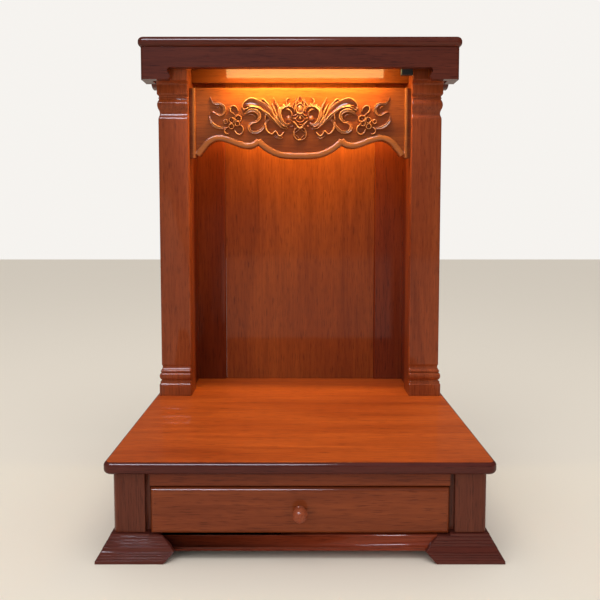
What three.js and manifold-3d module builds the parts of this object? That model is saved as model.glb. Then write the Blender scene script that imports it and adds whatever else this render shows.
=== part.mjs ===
// Household altar cabinet: a low case with one drawer, a bull-nosed offering board, and a
// column-framed niche under a flat cornice with a carved frieze and a warm lamp behind it.
// Millimetres, +Z up, the front faces -Y. The origin is on the floor, in the middle of the cabinet.
import * as THREE from 'three';
import { mergeVertices } from 'three/addons/utils/BufferGeometryUtils.js';
import Module from 'manifold-3d';

const wasm = await Module();
wasm.setup();

// ---------------------------------------------------------------- driving dimensions
const GAP = 0.3; // between pieces that touch

const TOE_FRONT = -280; // front of the feet on the floor
const REAR = 280; // wall side, flush all over
const BASE_HEIGHT = 142; // offering surface above the floor
const OVERALL_HEIGHT = 804;

const BOARD_HALF = 276; // offering board
const BOARD_FRONT = -272;
const BOARD_THICK = 18;
const BOARD_CORNER = 12.5;
const BOARD_ROUND = 6.5; // rounding of its edges

const CASE_HALF = 264.8; // outer faces of the posts
const CASE_FRONT = -256;
const POST_WIDE = 51.5;
const POST_DEEP = 50;
const GROOVE_WIDE = 6.5; // shadow groove beside the drawer
const GROOVE_DEEP = 9;
const PANEL_THICK = 14;

const FOOT_HEIGHT = 35;
const FOOT_SPREAD = 21.6; // reach of a toe past the post at the sides
const FOOT_THICK = 20;
const FOOT_REACH = 95.4; // length of a foot on the floor, from its outer toe
const SKIRT_TOP = 32.5;
const SKIRT_LOW = 12;
const SKIRT_THICK = 18;

const RAIL_LOW = 102.3;
const RAIL_THICK = 20;

const DRAWER_HALF = 212;
const DRAWER_LOW = 34;
const DRAWER_HIGH = 100.8;
const DRAWER_FACE = -258;
const DRAWER_FRONT_THICK = 18;
const DRAWER_BOX_HALF = 206;
const DRAWER_BOX_REAR = 170;
const DRAWER_WALL = 10;
const KNOB_HEIGHT = 67.4;
const KNOB_RADIUS = 11;
const KNOB_REACH = 25;

const COLUMN_IN = 207;
const COLUMN_OUT = 264;
const COLUMN_FRONT = 114.5;
const COLUMN_DEEP = 57;

const WALL_IN = 213; // niche side panels
const WALL_THICK = 12;
const BACK_FACE = 259.4;
const STILE_EDGE = 154.5;

const CANOPY_HALF = 291;
const CANOPY_FRONT = 64.5;
const CANOPY_THICK = 18;
const CANOPY_ROUND = 8;
const FASCIA_HALF = 286;
const FASCIA_FRONT = 69.5;
const FASCIA_THICK = 18;
const FASCIA_LOW = 750;
const BRACKET_LOW = 729;
const BRACKET_WIDE = 50;
const SIDE_DROP_FROM = 166; // the cheek behind each column hangs down between these
const SIDE_DROP_TO = 198;
const SIDE_DROP_LOW = 730;

const HEADER_FRONT = 154.5;
const HEADER_THICK = 16.7;
const HEADER_LOW = 737;

const FRIEZE_HALF = 206.6;
const FRIEZE_FACE = 124.5;
const FRIEZE_THICK = 14;
const FRIEZE_TOP = 723;
const FRIEZE_LOW = 592;
const CARVING_HEIGHT = 664; // level that the carving is drawn about
const EDGE_BEAD_WIDE = 12.5;
const EDGE_BEAD_HIGH = 4;
const SIDE_BEAD_AT = 198.8;
const SIDE_BEAD_WIDE = 7;

const LAMP_LEFT = -148;
const LAMP_RIGHT = 183.6;
const LAMP_LENS_END = 165;
const LAMP_BACK = 88;
const LAMP_DEEP = 20;
const LAMP_LOW = 757;
const LAMP_HOUSING = 12;

const BOARD_TOP_LOW = OVERALL_HEIGHT - CANOPY_THICK;
const CASE_TOP = BASE_HEIGHT - BOARD_THICK;

// ---------------------------------------------------------------- materials
const wood = (name, color, roughness) =>
  new THREE.MeshStandardMaterial({ name, color, roughness, metalness: 0 });
const darkWood = () => wood('dark_wood', 0x4a1f1a, 0.28);
const redWood = () => wood('red_wood', 0x6e2f16, 0.3);
const panelWood = () => wood('panel_wood', 0x7a3414, 0.32);
const innerWood = () => wood('inner_wood', 0xa87a4a, 0.6);
const lampBodyFinish = () => wood('lamp_body', 0xe6e3dc, 0.5);
const lampLensFinish = () => wood('lamp_lens', 0xffd79a, 0.4);
const lampPlugFinish = () => wood('lamp_plug', 0x141414, 0.5);

const cabinet = new THREE.Group();

function add(name, shape, material) {
  const geometry = shape.isBufferGeometry ? shape : geometryOf(shape);
  const mesh = new THREE.Mesh(geometry, material);
  mesh.name = name;
  cabinet.add(mesh);
  return mesh;
}

// ---------------------------------------------------------------- solids
function solidOf(geometry) {
  const bare = geometry.clone();
  bare.deleteAttribute('normal');
  bare.deleteAttribute('uv');
  const merged = mergeVertices(bare, 1e-4);
  return new wasm.Manifold(new wasm.Mesh({
    numProp: 3,
    vertProperties: new Float32Array(merged.attributes.position.array),
    triVerts: new Uint32Array(merged.index.array),
  }));
}

function geometryOf(solid) {
  const mesh = solid.getMesh();
  const geometry = new THREE.BufferGeometry();
  geometry.setAttribute('position', new THREE.BufferAttribute(new Float32Array(mesh.vertProperties), 3));
  geometry.setIndex(new THREE.BufferAttribute(new Uint32Array(mesh.triVerts), 1));
  return geometry;
}

// A box between two corners.
function block(x0, x1, y0, y1, z0, z1) {
  const geometry = new THREE.BoxGeometry(x1 - x0, y1 - y0, z1 - z0);
  geometry.translate((x0 + x1) / 2, (y0 + y1) / 2, (z0 + z1) / 2);
  return geometry;
}

// A skin through a row of rings with equal numbers of points, capped at both ends, or run
// round to its start when it is a loop. Its faces are turned outwards at the end.
function skin(rings, loop = false) {
  const count = rings[0].length;
  const positions = rings.flat().flat();
  const index = [];
  const rows = loop ? rings.length : rings.length - 1;
  for (let r = 0; r < rows; r++) {
    const next = (r + 1) % rings.length;
    for (let i = 0; i < count; i++) {
      const j = (i + 1) % count;
      index.push(r * count + i, r * count + j, next * count + j);
      index.push(r * count + i, next * count + j, next * count + i);
    }
  }
  if (!loop) {
    const last = (rings.length - 1) * count;
    for (let i = 1; i < count - 1; i++) {
      index.push(0, i + 1, i);
      index.push(last, last + i, last + i + 1);
    }
  }
  const corner = (k) => new THREE.Vector3().fromArray(positions, index[k] * 3);
  let volume = 0;
  for (let k = 0; k < index.length; k += 3) {
    volume += corner(k).dot(corner(k + 1).cross(corner(k + 2)));
  }
  if (volume < 0) {
    index.reverse();
  }
  const geometry = new THREE.BufferGeometry();
  geometry.setAttribute('position', new THREE.Float32BufferAttribute(positions, 3));
  geometry.setIndex(index);
  return geometry;
}

// The outline of a rectangle whose corners have their own radii, anticlockwise from (u0, v0).
function plan(u0, u1, v0, v1, radii, steps) {
  const corners = [[u0, v0, 1, 1, 180], [u1, v0, -1, 1, 270], [u1, v1, -1, -1, 0], [u0, v1, 1, -1, 90]];
  const points = [];
  corners.forEach(([u, v, su, sv, start], k) => {
    const radius = radii[k];
    if (radius === 0) {
      points.push([u, v]);
      return;
    }
    for (let i = 0; i <= steps; i++) {
      const angle = THREE.MathUtils.degToRad(start + (90 * i) / steps);
      points.push([u + su * radius + radius * Math.cos(angle), v + sv * radius + radius * Math.sin(angle)]);
    }
  });
  return points;
}

// A moulded block: a rectangle that grows by each level's amounts as it rises.
// A level is [z, front, outer], and sides say which ways the outer amount goes.
function moulded(area, levels, sides, radii, steps) {
  const rings = levels.map(([z, front, outer]) => plan(
    area.x0 - outer * sides.x0, area.x1 + outer * sides.x1,
    area.y0 - front, area.y1,
    radii.map((radius) => (radius === 0 ? 0 : Math.max(radius + Math.min(front, outer), 0.6))), steps,
  ).map(([x, y]) => [x, y, z]));
  return skin(rings);
}

// A flat shape in the X-Z plane given thickness from y0 back to y1.
function frontShape(shape, y0, y1, curveSegments = 6) {
  const geometry = new THREE.ExtrudeGeometry(shape, { depth: y1 - y0, bevelEnabled: false, curveSegments });
  const turn = new THREE.Matrix4().makeBasis(
    new THREE.Vector3(1, 0, 0), new THREE.Vector3(0, 0, 1), new THREE.Vector3(0, -1, 0),
  );
  geometry.applyMatrix4(turn);
  geometry.translate(0, y1, 0);
  return geometry;
}

// A flat shape in the Y-Z plane given thickness from x0 to x1.
function sideShape(shape, x0, x1, curveSegments = 6) {
  const geometry = new THREE.ExtrudeGeometry(shape, { depth: x1 - x0, bevelEnabled: false, curveSegments });
  const turn = new THREE.Matrix4().makeBasis(
    new THREE.Vector3(0, 1, 0), new THREE.Vector3(0, 0, 1), new THREE.Vector3(1, 0, 0),
  );
  geometry.applyMatrix4(turn);
  geometry.translate(x0, 0, 0);
  return geometry;
}

const polygon = (points) => new THREE.Shape(points.map(([u, v]) => new THREE.Vector2(u, v)));

// The same solid on the other side of the X = 0 plane.
const mirrored = (geometry) => geometryOf(solidOf(geometry).mirror([1, 0, 0]));

function addPair(name, rightGeometry, material) {
  add(`${name}_right`, rightGeometry, material());
  add(`${name}_left`, mirrored(rightGeometry), material());
}

// ---------------------------------------------------------------- feet and skirt
// The feet step outwards as they go down: a tall fillet, then small rounded risers.
const footLevels = [
  [0, 24, 1], [4.6, 23.4, 0.975], [5.2, 21.6, 0.9], [7.4, 21.3, 0.885], [8, 19.7, 0.82],
  [10.2, 19.4, 0.81], [10.8, 17.8, 0.74], [12.8, 17.5, 0.73], [13.4, 15.6, 0.65],
  [19.4, 14, 0.585], [20.6, 11.2, 0.47], [23.4, 10.9, 0.455], [24.2, 9.2, 0.385],
  [26.6, 8.9, 0.37], [27.6, 7, 0.29], [31, 6.6, 0.275], [32.2, 4.6, 0.19], [FOOT_HEIGHT, 4.2, 0.175],
].map(([z, front, share]) => [z, front, share * FOOT_SPREAD]);
const caseArea = { x0: -CASE_HALF, x1: CASE_HALF, y0: CASE_FRONT, y1: REAR };
const apron = solidOf(moulded(caseArea, footLevels, { x0: 1, x1: 1 }, [0, 0, 0, 0], 1));

// How far from the cabinet's outer face a foot's inner end lies at each height: it leans in to a
// point above the floor, then back towards the post.
const footToe = CASE_HALF + FOOT_SPREAD;
const footEnd = [
  [0, footToe - FOOT_REACH], [15, footToe - FOOT_REACH - 13], [18, footToe - FOOT_REACH - 10],
  [SKIRT_TOP, footToe - FOOT_REACH + 9],
];

// The region of a front leg, seen from the front, and of a side leg, seen from the side. Past the
// post a leg stops level with the skirt, so that the drawer and the case sides clear it.
function legRegion(end, reach) {
  return polygon([[reach, -1], ...end.map(([z, at]) => [at, z === 0 ? -1 : z]), [reach, SKIRT_TOP]]);
}
const sideEnd = (sign) => footEnd.map(([z, at]) => [z, sign * (at - footToe)]);

function footRight(front) {
  const inner = CASE_HALF - FOOT_THICK;
  const cornerBlock = solidOf(block(CASE_HALF - POST_WIDE, footToe + 1, front ? TOE_FRONT - 1 : REAR - POST_DEEP,
    front ? CASE_FRONT + POST_DEEP : REAR + 1, -1, FOOT_HEIGHT));
  const acrossLow = front ? TOE_FRONT - 1 : REAR - FOOT_THICK;
  const acrossHigh = front ? CASE_FRONT + FOOT_THICK : REAR + 1;
  const across = solidOf(frontShape(legRegion(footEnd, footToe + 1), acrossLow, acrossHigh));
  const alongEnd = front
    ? sideEnd(-1).map(([z, at]) => [z, TOE_FRONT + at])
    : sideEnd(1).map(([z, at]) => [z, REAR + FOOT_SPREAD + at]);
  const reach = front ? TOE_FRONT - 1 : REAR + 1;
  const along = solidOf(sideShape(legRegion(alongEnd, reach), inner, footToe + 1));
  return geometryOf(apron.intersect(cornerBlock.add(across).add(along)));
}

addPair('foot_front', footRight(true), darkWood);
addPair('foot_rear', footRight(false), darkWood);

// The skirt between the feet: a top fillet, a cove and a flat lower band.
function skirtSection() {
  const points = [[-SKIRT_THICK, SKIRT_LOW], [7.4, SKIRT_LOW], [8, SKIRT_LOW + 0.8], [8, 17.4], [6.4, 18]];
  const coveSteps = 5;
  for (let i = 0; i <= coveSteps; i++) {
    const angle = (Math.PI / 2) * (i / coveSteps);
    points.push([6.4 - 4.9 * Math.sin(angle), 18.6 + 10.6 * (1 - Math.cos(angle))]);
  }
  points.push([2.4, 29.8], [2.4, SKIRT_TOP - 0.6], [1.8, SKIRT_TOP], [-SKIRT_THICK, SKIRT_TOP]);
  return points;
}

// End cuts that follow the feet, a hair clear of them.
function skirtSpan(end, clearance) {
  const edge = end.map(([z, at]) => [at - Math.sign(at) * clearance, z]);
  return polygon([...edge.map(([u, z]) => [u, z === 0 ? -1 : z]), ...edge.reverse().map(([u, z]) => [-u, z === 0 ? -1 : z])]);
}
const frontBand = solidOf(sideShape(polygon(skirtSection().map(([e, z]) => [CASE_FRONT - e, z])), -CASE_HALF, CASE_HALF));
const frontSpan = solidOf(frontShape(skirtSpan(footEnd, 0.4), TOE_FRONT, CASE_FRONT + POST_DEEP));
add('skirt_front', geometryOf(frontBand.intersect(frontSpan)), darkWood());

const sideMiddle = (TOE_FRONT + REAR + FOOT_SPREAD) / 2;
const sideBand = solidOf(frontShape(polygon(skirtSection().map(([e, z]) => [CASE_HALF + e, z])), TOE_FRONT, REAR));
const halfSpan = (REAR + FOOT_SPREAD - TOE_FRONT) / 2;
const sideSpanShape = skirtSpan(footEnd.map(([z, at]) => [z, at - footToe + halfSpan]), 0.4);
const sideSpan = solidOf(sideShape(sideSpanShape, CASE_HALF - POST_WIDE, footToe).translate(0, sideMiddle, 0));
addPair('skirt', geometryOf(sideBand.intersect(sideSpan)), darkWood);

const backBand = solidOf(block(-CASE_HALF, CASE_HALF, REAR - SKIRT_THICK, REAR - 1, SKIRT_LOW, SKIRT_TOP));
const backSpan = solidOf(frontShape(skirtSpan(footEnd, 0.4), REAR - POST_DEEP, REAR));
add('skirt_back', geometryOf(backBand.intersect(backSpan)), darkWood());

// ---------------------------------------------------------------- case
// Front posts have a rounded outer corner and a shadow groove beside the drawer.
const postIn = CASE_HALF - POST_WIDE;
function postRight(y0, y1, radii, grooved) {
  const postArea = { x0: postIn, x1: CASE_HALF, y0, y1 };
  const levels = [[FOOT_HEIGHT + GAP, 0, 0], [CASE_TOP - GAP, 0, 0]];
  const post = solidOf(moulded(postArea, levels, { x0: 0, x1: 1 }, radii, 4));
  if (!grooved) {
    return geometryOf(post);
  }
  const groove = solidOf(block(postIn - 1, postIn + GROOVE_WIDE, y0 - 1, y0 + GROOVE_DEEP, 0, CASE_TOP + 1));
  return geometryOf(post.subtract(groove));
}
addPair('post_front', postRight(CASE_FRONT, CASE_FRONT + POST_DEEP, [0, 6, 0, 0], true), redWood);
addPair('post_rear', postRight(REAR - POST_DEEP, REAR, [0, 0, 3, 0], false), redWood);

const railHalf = postIn - GAP;
const railShape = new THREE.Shape()
  .moveTo(CASE_FRONT + 1 + RAIL_THICK, RAIL_LOW)
  .lineTo(CASE_FRONT + 1 + RAIL_THICK, CASE_TOP - GAP)
  .lineTo(CASE_FRONT + 1, CASE_TOP - GAP)
  .lineTo(CASE_FRONT + 1, RAIL_LOW + 2)
  .quadraticCurveTo(CASE_FRONT + 1, RAIL_LOW, CASE_FRONT + 3, RAIL_LOW);
add('rail_front', sideShape(railShape, -railHalf, railHalf, 3), redWood());

const panelY0 = CASE_FRONT + POST_DEEP + GAP;
const panelY1 = REAR - POST_DEEP - GAP;
const panelLow = SKIRT_TOP + GAP;
addPair('case_side', block(CASE_HALF - 4 - PANEL_THICK, CASE_HALF - 4, panelY0, panelY1, panelLow, CASE_TOP - GAP), redWood);
add('case_back', block(-railHalf, railHalf, REAR - 4 - PANEL_THICK, REAR - 4, panelLow, CASE_TOP - GAP), panelWood());

// L-shaped strips that carry the drawer and keep it square.
const runnerIn = DRAWER_BOX_HALF - 12;
const runnerOut = postIn - GAP;
const runnerShape = polygon([
  [runnerIn, panelLow], [runnerOut, panelLow], [runnerOut, 56], [DRAWER_BOX_HALF + 1, 56],
  [DRAWER_BOX_HALF + 1, 39], [runnerIn, 39],
]);
addPair('drawer_runner', frontShape(runnerShape, CASE_FRONT + 22, REAR - PANEL_THICK - 5), innerWood);

// The offering board: its edges are rounded over on the front and both sides, square at the wall.
function noseLevels(low, thick, radius, steps) {
  const arc = (level, turn) => {
    const levels = [];
    for (let i = 0; i <= steps; i++) {
      const angle = (Math.PI / 2) * (i / steps) + turn;
      levels.push([level + radius * Math.sin(angle), radius * (Math.cos(angle) - 1), radius * (Math.cos(angle) - 1)]);
    }
    return levels;
  };
  return [...arc(low + radius, -Math.PI / 2), ...arc(low + thick - radius, 0)];
}
const boardArea = { x0: -BOARD_HALF, x1: BOARD_HALF, y0: BOARD_FRONT, y1: REAR };
add('base_top', moulded(boardArea, noseLevels(CASE_TOP, BOARD_THICK, BOARD_ROUND, 5), { x0: 1, x1: 1 },
  [BOARD_CORNER, BOARD_CORNER, 0, 0], 5), darkWood());

// ---------------------------------------------------------------- drawer
// The front is a thick board whose face rolls over at its edges.
function drawerFront() {
  const rollWide = 6;
  const rings = [];
  const rollSteps = 4;
  const ring = (inset, y) => plan(-DRAWER_HALF + inset, DRAWER_HALF - inset, DRAWER_LOW + inset,
    DRAWER_HIGH - inset, [1.5, 1.5, 1.5, 1.5], 1).map(([x, z]) => [x, y, z]);
  rings.push(ring(0, DRAWER_FACE + DRAWER_FRONT_THICK));
  for (let i = 0; i <= rollSteps; i++) {
    const angle = (Math.PI / 2) * (i / rollSteps);
    rings.push(ring(rollWide * (1 - Math.cos(angle)), DRAWER_FACE + rollWide * (1 - Math.sin(angle))));
  }
  return skin(rings);
}
add('drawer_front', drawerFront(), redWood());

const boxFront = DRAWER_FACE + DRAWER_FRONT_THICK + GAP;
const boxLow = 39.4;
const boxHigh = 92;
addPair('drawer_side', block(DRAWER_BOX_HALF - DRAWER_WALL, DRAWER_BOX_HALF, boxFront, DRAWER_BOX_REAR, boxLow, boxHigh), innerWood);
const boxIn = DRAWER_BOX_HALF - DRAWER_WALL - GAP;
add('drawer_back', block(-boxIn, boxIn, DRAWER_BOX_REAR - DRAWER_WALL, DRAWER_BOX_REAR, boxLow, boxHigh - 4), innerWood());
const bottomThick = 5;
add('drawer_bottom', block(-boxIn, boxIn, boxFront, DRAWER_BOX_REAR - DRAWER_WALL - GAP, boxLow + 3,
  boxLow + 3 + bottomThick), innerWood());

// A turned knob: collar, neck and flattened ball.
function knob() {
  const profile = [[0, 0], [8, 0], [8.6, 1.2], [8, 2.6], [5.4, 4], [4.8, 7], [6.4, 9.6], [9.4, 11.6]];
  const ballSteps = 5;
  for (let i = 0; i <= ballSteps; i++) {
    const angle = (Math.PI / 2) * (i / ballSteps);
    profile.push([KNOB_RADIUS * Math.cos(angle), 14.5 + (KNOB_REACH - 14.5) * Math.sin(angle)]);
  }
  profile[profile.length - 1][0] = 0;
  const geometry = new THREE.LatheGeometry(profile.map(([r, h]) => new THREE.Vector2(r, h)), 18);
  geometry.rotateX(Math.PI);
  geometry.translate(0, DRAWER_FACE - GAP, KNOB_HEIGHT);
  return geometryOf(solidOf(geometry));
}
add('drawer_knob', knob(), redWood());

// ---------------------------------------------------------------- niche
// Each column is one square post with its base and capital mouldings cut on the front and the
// outer side. A level is [height, amount at the front, amount at the outer side].
const columnBase = BASE_HEIGHT + GAP;
const columnTop = BOARD_TOP_LOW - GAP;
const columnLevels = [
  [columnBase, 4, 4], [163.5, 4, 4], [165.4, 2.6, 2.6], [169, 2.4, 2.4], [169.8, 0.4, 0.4], [172.4, 0.4, 0.4],
  [173.6, 1.8, 1.8], [176.2, 3.2, 3.2], [179.6, 3.7, 3.7], [183, 3.2, 3.2], [185.6, 1.8, 1.8], [186.4, 0.4, 0.4],
  [187.2, 1.8, 1.8], [190, 1.8, 1.8], [191.6, 0.6, 0.6], [194, -0.8, -0.8], [200.5, -1.4, -1.4], [202.5, 0, 0],
  [666.5, 0, 0], [673, -1.6, -1.6], [676, -2.6, -2.6], [679, -2.4, -2.4], [683.5, 0, 0], [688.5, 1.5, 1.5],
  [692.5, 1.7, 1.7], [697, 0.8, 0.8], [700, -1.2, -1.2], [702, -1.4, -1.4], [702.4, -0.2, -0.2],
  [703.6, -0.2, -0.2], [704, -1.4, -1.4], [707, -1.2, -1.2], [709, 1.4, 1.4], [711, 2.2, 2.2], [713, 2, 2],
  [726.5, 2, 2], [728.5, 3.4, 2.4], [731, 7, 2.8], [733.4, 11, 3], [734.6, 12, 3], [columnTop, 12, 3],
];
const columnArea = { x0: COLUMN_IN, x1: COLUMN_OUT, y0: COLUMN_FRONT, y1: COLUMN_FRONT + COLUMN_DEEP };
addPair('column', moulded(columnArea, columnLevels, { x0: 0, x1: 1 }, [3, 2.2, 0, 0], 1), redWood);

const wallLow = BASE_HEIGHT + GAP;
const wallHigh = BOARD_TOP_LOW - GAP;
addPair('side_panel', block(WALL_IN, WALL_IN + WALL_THICK, COLUMN_FRONT + COLUMN_DEEP + GAP, BACK_FACE - GAP,
  wallLow, wallHigh), panelWood);

const chamfer = 2.5;
const stileShape = polygon([
  [STILE_EDGE + chamfer, BACK_FACE], [WALL_IN + WALL_THICK, BACK_FACE], [WALL_IN + WALL_THICK, REAR],
  [STILE_EDGE, REAR], [STILE_EDGE, BACK_FACE + chamfer],
]);
const stile = new THREE.ExtrudeGeometry(stileShape, { depth: wallHigh - wallLow, bevelEnabled: false });
stile.translate(0, 0, wallLow);
addPair('back_stile', stile, panelWood);
add('back_panel', block(-STILE_EDGE + GAP, STILE_EDGE - GAP, BACK_FACE + 3, REAR - 4, wallLow, wallHigh), panelWood());

const spanHalf = COLUMN_IN - GAP;
add('header_rail', block(-spanHalf, spanHalf, HEADER_FRONT, HEADER_FRONT + HEADER_THICK, HEADER_LOW, wallHigh), panelWood());

// ---------------------------------------------------------------- frieze
const onFace = (x, z) => new THREE.Vector3(x, FRIEZE_FACE, CARVING_HEIGHT + z);

// A carved band along a curve on the frieze's face. Its section is drawn across the curve as
// [side, height] parts of the band's width and height, and it sinks into the board.
const ROUND = [[0, 1], [0.38, 0.6], [0.5, 0], [-0.5, 0], [-0.38, 0.6]];
const HOLLOW = [[0, 0.45], [0.36, 1], [0.5, 0], [-0.5, 0], [-0.36, 1]];
const SLIM = [[0, 1], [0.5, 0], [-0.5, 0]];
function band(points, widths, high, section = SLIM, perSpan = 2, sink = 1.5) {
  const curve = new THREE.CatmullRomCurve3(points.map(([x, z]) => onFace(x, z)));
  const spans = points.length - 1;
  const steps = spans * perSpan;
  const rings = [];
  for (let i = 0; i <= steps; i++) {
    const at = i / steps;
    const centre = curve.getPoint(at);
    const tangent = curve.getTangent(at);
    const across = new THREE.Vector3(tangent.z, 0, -tangent.x).normalize();
    const place = at * (widths.length - 1);
    const k = Math.min(Math.floor(place), widths.length - 2);
    const width = THREE.MathUtils.lerp(widths[k], widths[k + 1], place - k);
    const height = high * Math.min(1, 0.35 + width / Math.max(...widths));
    rings.push(section.map(([side, up]) => {
      const point = centre.clone().addScaledVector(across, side * width);
      point.y -= up === 0 ? -sink : up * height;
      return point.toArray();
    }));
  }
  return solidOf(skin(rings));
}

// A small carved ring, and a low domed boss.
function carvedRing(x, z, radius, width, high, around = 9) {
  const rings = [];
  for (let i = 0; i < around; i++) {
    const angle = (2 * Math.PI * i) / around;
    rings.push([[0, high], [0.5, -1.5], [-0.5, -1.5]].map(([side, up]) => [
      x + (radius + side * width) * Math.cos(angle), FRIEZE_FACE - up,
      CARVING_HEIGHT + z + (radius + side * width) * Math.sin(angle)]));
  }
  return solidOf(skin(rings, true));
}
function boss(x, z, halfWide, halfHigh, high, around = 8) {
  const geometry = new THREE.SphereGeometry(1, around, 4);
  geometry.rotateX(Math.PI / 2);
  geometry.scale(halfWide, high, halfHigh);
  geometry.translate(x, FRIEZE_FACE, CARVING_HEIGHT + z);
  return solidOf(geometry);
}

// The scalloped lower edge: from the side it rises to a crest, dips, climbs to a cusp and
// drops in a long hollow to the flat middle. Heights are above the frieze's lowest point.
const scallopOuter = [[194, 4], [181, 23], [168, 35], [154, 38.5], [130, 33], [103, 24], [88, 28], [76.5, 36]];
const scallopInner = [[79, 36], [71, 24], [57, 13], [38, 6.8], [18, 5.2], [0, 5]];
const edgeAt = ([x, up]) => [x, FRIEZE_LOW + up - CARVING_HEIGHT];
const edgeSection = [[0, 1], [0.32, 0.8], [0.5, 0], [-0.5, 0], [-0.32, 0.8]];
const edgeBand = (points) => band(points.map(edgeAt), [EDGE_BEAD_WIDE, EDGE_BEAD_WIDE], EDGE_BEAD_HIGH,
  edgeSection, 2, FRIEZE_THICK);
function sampled(points, perSpan) {
  const curve = new THREE.CatmullRomCurve3(points.map(([x, up]) => new THREE.Vector3(x, FRIEZE_LOW + up, 0)));
  return curve.getPoints((points.length - 1) * perSpan).map((p) => [p.x, p.y]);
}

function friezeBoard() {
  const outer = sampled(scallopOuter, 2).filter(([x]) => x > 78);
  const inner = sampled(scallopInner, 2).filter(([x]) => x < 77.5);
  const half = [[FRIEZE_HALF, FRIEZE_TOP], [FRIEZE_HALF, FRIEZE_LOW], [SIDE_BEAD_AT - 3.5, FRIEZE_LOW], ...outer, ...inner];
  const whole = [...half, ...half.slice(0, -1).reverse().map(([x, z]) => [-x, z])];
  return solidOf(frontShape(polygon(whole), FRIEZE_FACE, FRIEZE_FACE + FRIEZE_THICK));
}
const drop = (z) => z - CARVING_HEIGHT;
const sideBead = band([[SIDE_BEAD_AT, drop(FRIEZE_LOW)], [SIDE_BEAD_AT, drop(FRIEZE_TOP + 4)]],
  [SIDE_BEAD_WIDE, SIDE_BEAD_WIDE], 4, edgeSection, 1, FRIEZE_THICK);

// Half of the carving, on the +X side: a wing with feathers, ribbons with curled ends, a cloud
// scroll and a plum blossom with a trailing ribbon.
const wing = band([[106, 19], [100, 29], [88, 32], [75, 27], [63.5, 17.5], [53.5, 6.5], [43, -4.5], [31, -13], [22, -14]],
  [4, 11, 15, 13.5, 12, 10, 8, 5, 2.5], 5, HOLLOW);
const feathers = [
  band([[73, 36], [68.5, 37.5], [63.5, 32.5], [56, 24], [51, 13], [47, 0], [39.5, -9]], [1.5, 3, 3.4, 3.4, 3, 3, 2], 5.5),
  band([[53.5, 30], [48.5, 21], [45, 11], [42, 1], [35, -10]], [1.2, 3, 3, 3, 1.6], 5),
  band([[50, 40.5], [46, 31.5], [40.5, 21], [38, 11], [35.5, 1], [29, -8]], [1.2, 2.8, 4, 4, 3.4, 2], 6),
];
const shoulder = band([[11, 15], [14, 21.5], [21.5, 25], [30, 22], [35, 13.5], [34.5, 3.5], [30, -4.5], [24.5, -7], [20, -3]],
  [3, 5, 5.5, 6, 6, 5.5, 5.5, 5, 2.5], 6, ROUND, 1);
const hook = band([[21.5, 38.5], [24.5, 39], [26.5, 35], [25.5, 29], [22, 24]], [1.2, 2.2, 2.6, 2.6, 2], 4.5);
const ribbon = band([[107, 7.5], [99, 12.5], [91, 13], [82.5, 10], [80, 2.5], [86, -4], [93.5, -8], [95.5, -15], [91.5, -20.5],
  [83.5, -21.5], [74, -16.5], [66.5, -7.5], [60, 0.5], [50.5, 2]],
  [2, 7, 9, 9, 7, 6, 5.5, 5.5, 5.5, 5.5, 5.5, 5, 4, 2.5], 5, ROUND, 1);
const branch = band([[64.5, -2], [65, -9], [63, -18], [57.5, -24.5], [50.5, -26.5]], [2.5, 3.6, 3.8, 3.6, 3], 4.5);
const cloud = band([[51, -25], [46.5, -21.5], [42.5, -26.5], [37, -29.5], [32, -25], [29.5, -22.5]], [3, 3.4, 3.4, 4, 3.4, 2], 5);
const tendril = band([[66, 2], [65, 8], [61, 11], [57, 10.5]], [2, 2.4, 2.4, 1.6], 4);
const trail = band([[167, 41], [162.5, 31.5], [150.5, 30], [141.5, 19.5], [146.5, 8.5], [157.5, 12], [166, 15]],
  [1.6, 4, 4.6, 5, 5, 4, 2], 4);
const tail = band([[168.5, 6], [164.5, -5], [155, -14], [146, -15.5], [136, -12]], [2.5, 6.5, 6.5, 5, 3], 5);
const petals = [
  band([[122, 6.5], [129.5, 12], [129.5, 20], [124.5, 24], [118.5, 20.5], [116.5, 14]], [2, 2.8, 2.8, 2.8, 2.8, 2], 4.5),
  band([[121.5, -18], [118, -25], [114, -27.5], [108.5, -21.5], [108, -15], [112.5, -10]], [2, 2.8, 2.8, 2.8, 2.8, 2], 4.5),
  band([[135, -13], [141, -18.5], [139.5, -24], [135, -25.5], [132, -22.5]], [1.8, 2.6, 2.6, 2.4, 1.6], 4),
];
const blossom = [[116.7, 2.4, 5.2], [128.7, -0.6, 4.4], [140, -3.5, 3.4], [129.3, -12.4, 4.2], [118.6, -7.4, 3.6]]
  .map(([x, z, radius]) => carvedRing(x, z, radius, 3, 5));
const bumps = [boss(21.5, 3, 6, 6.5, 3.5), boss(18.7, 29.5, 2.6, 2.6, 4, 6), boss(13.8, 27, 2.2, 2.2, 4, 6),
  boss(31, 27.5, 2.4, 2.4, 4, 6)];
const halfCarving = [wing, ...feathers, shoulder, hook, ribbon, branch, cloud, tendril, trail, tail, ...petals, ...blossom, ...bumps];

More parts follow.
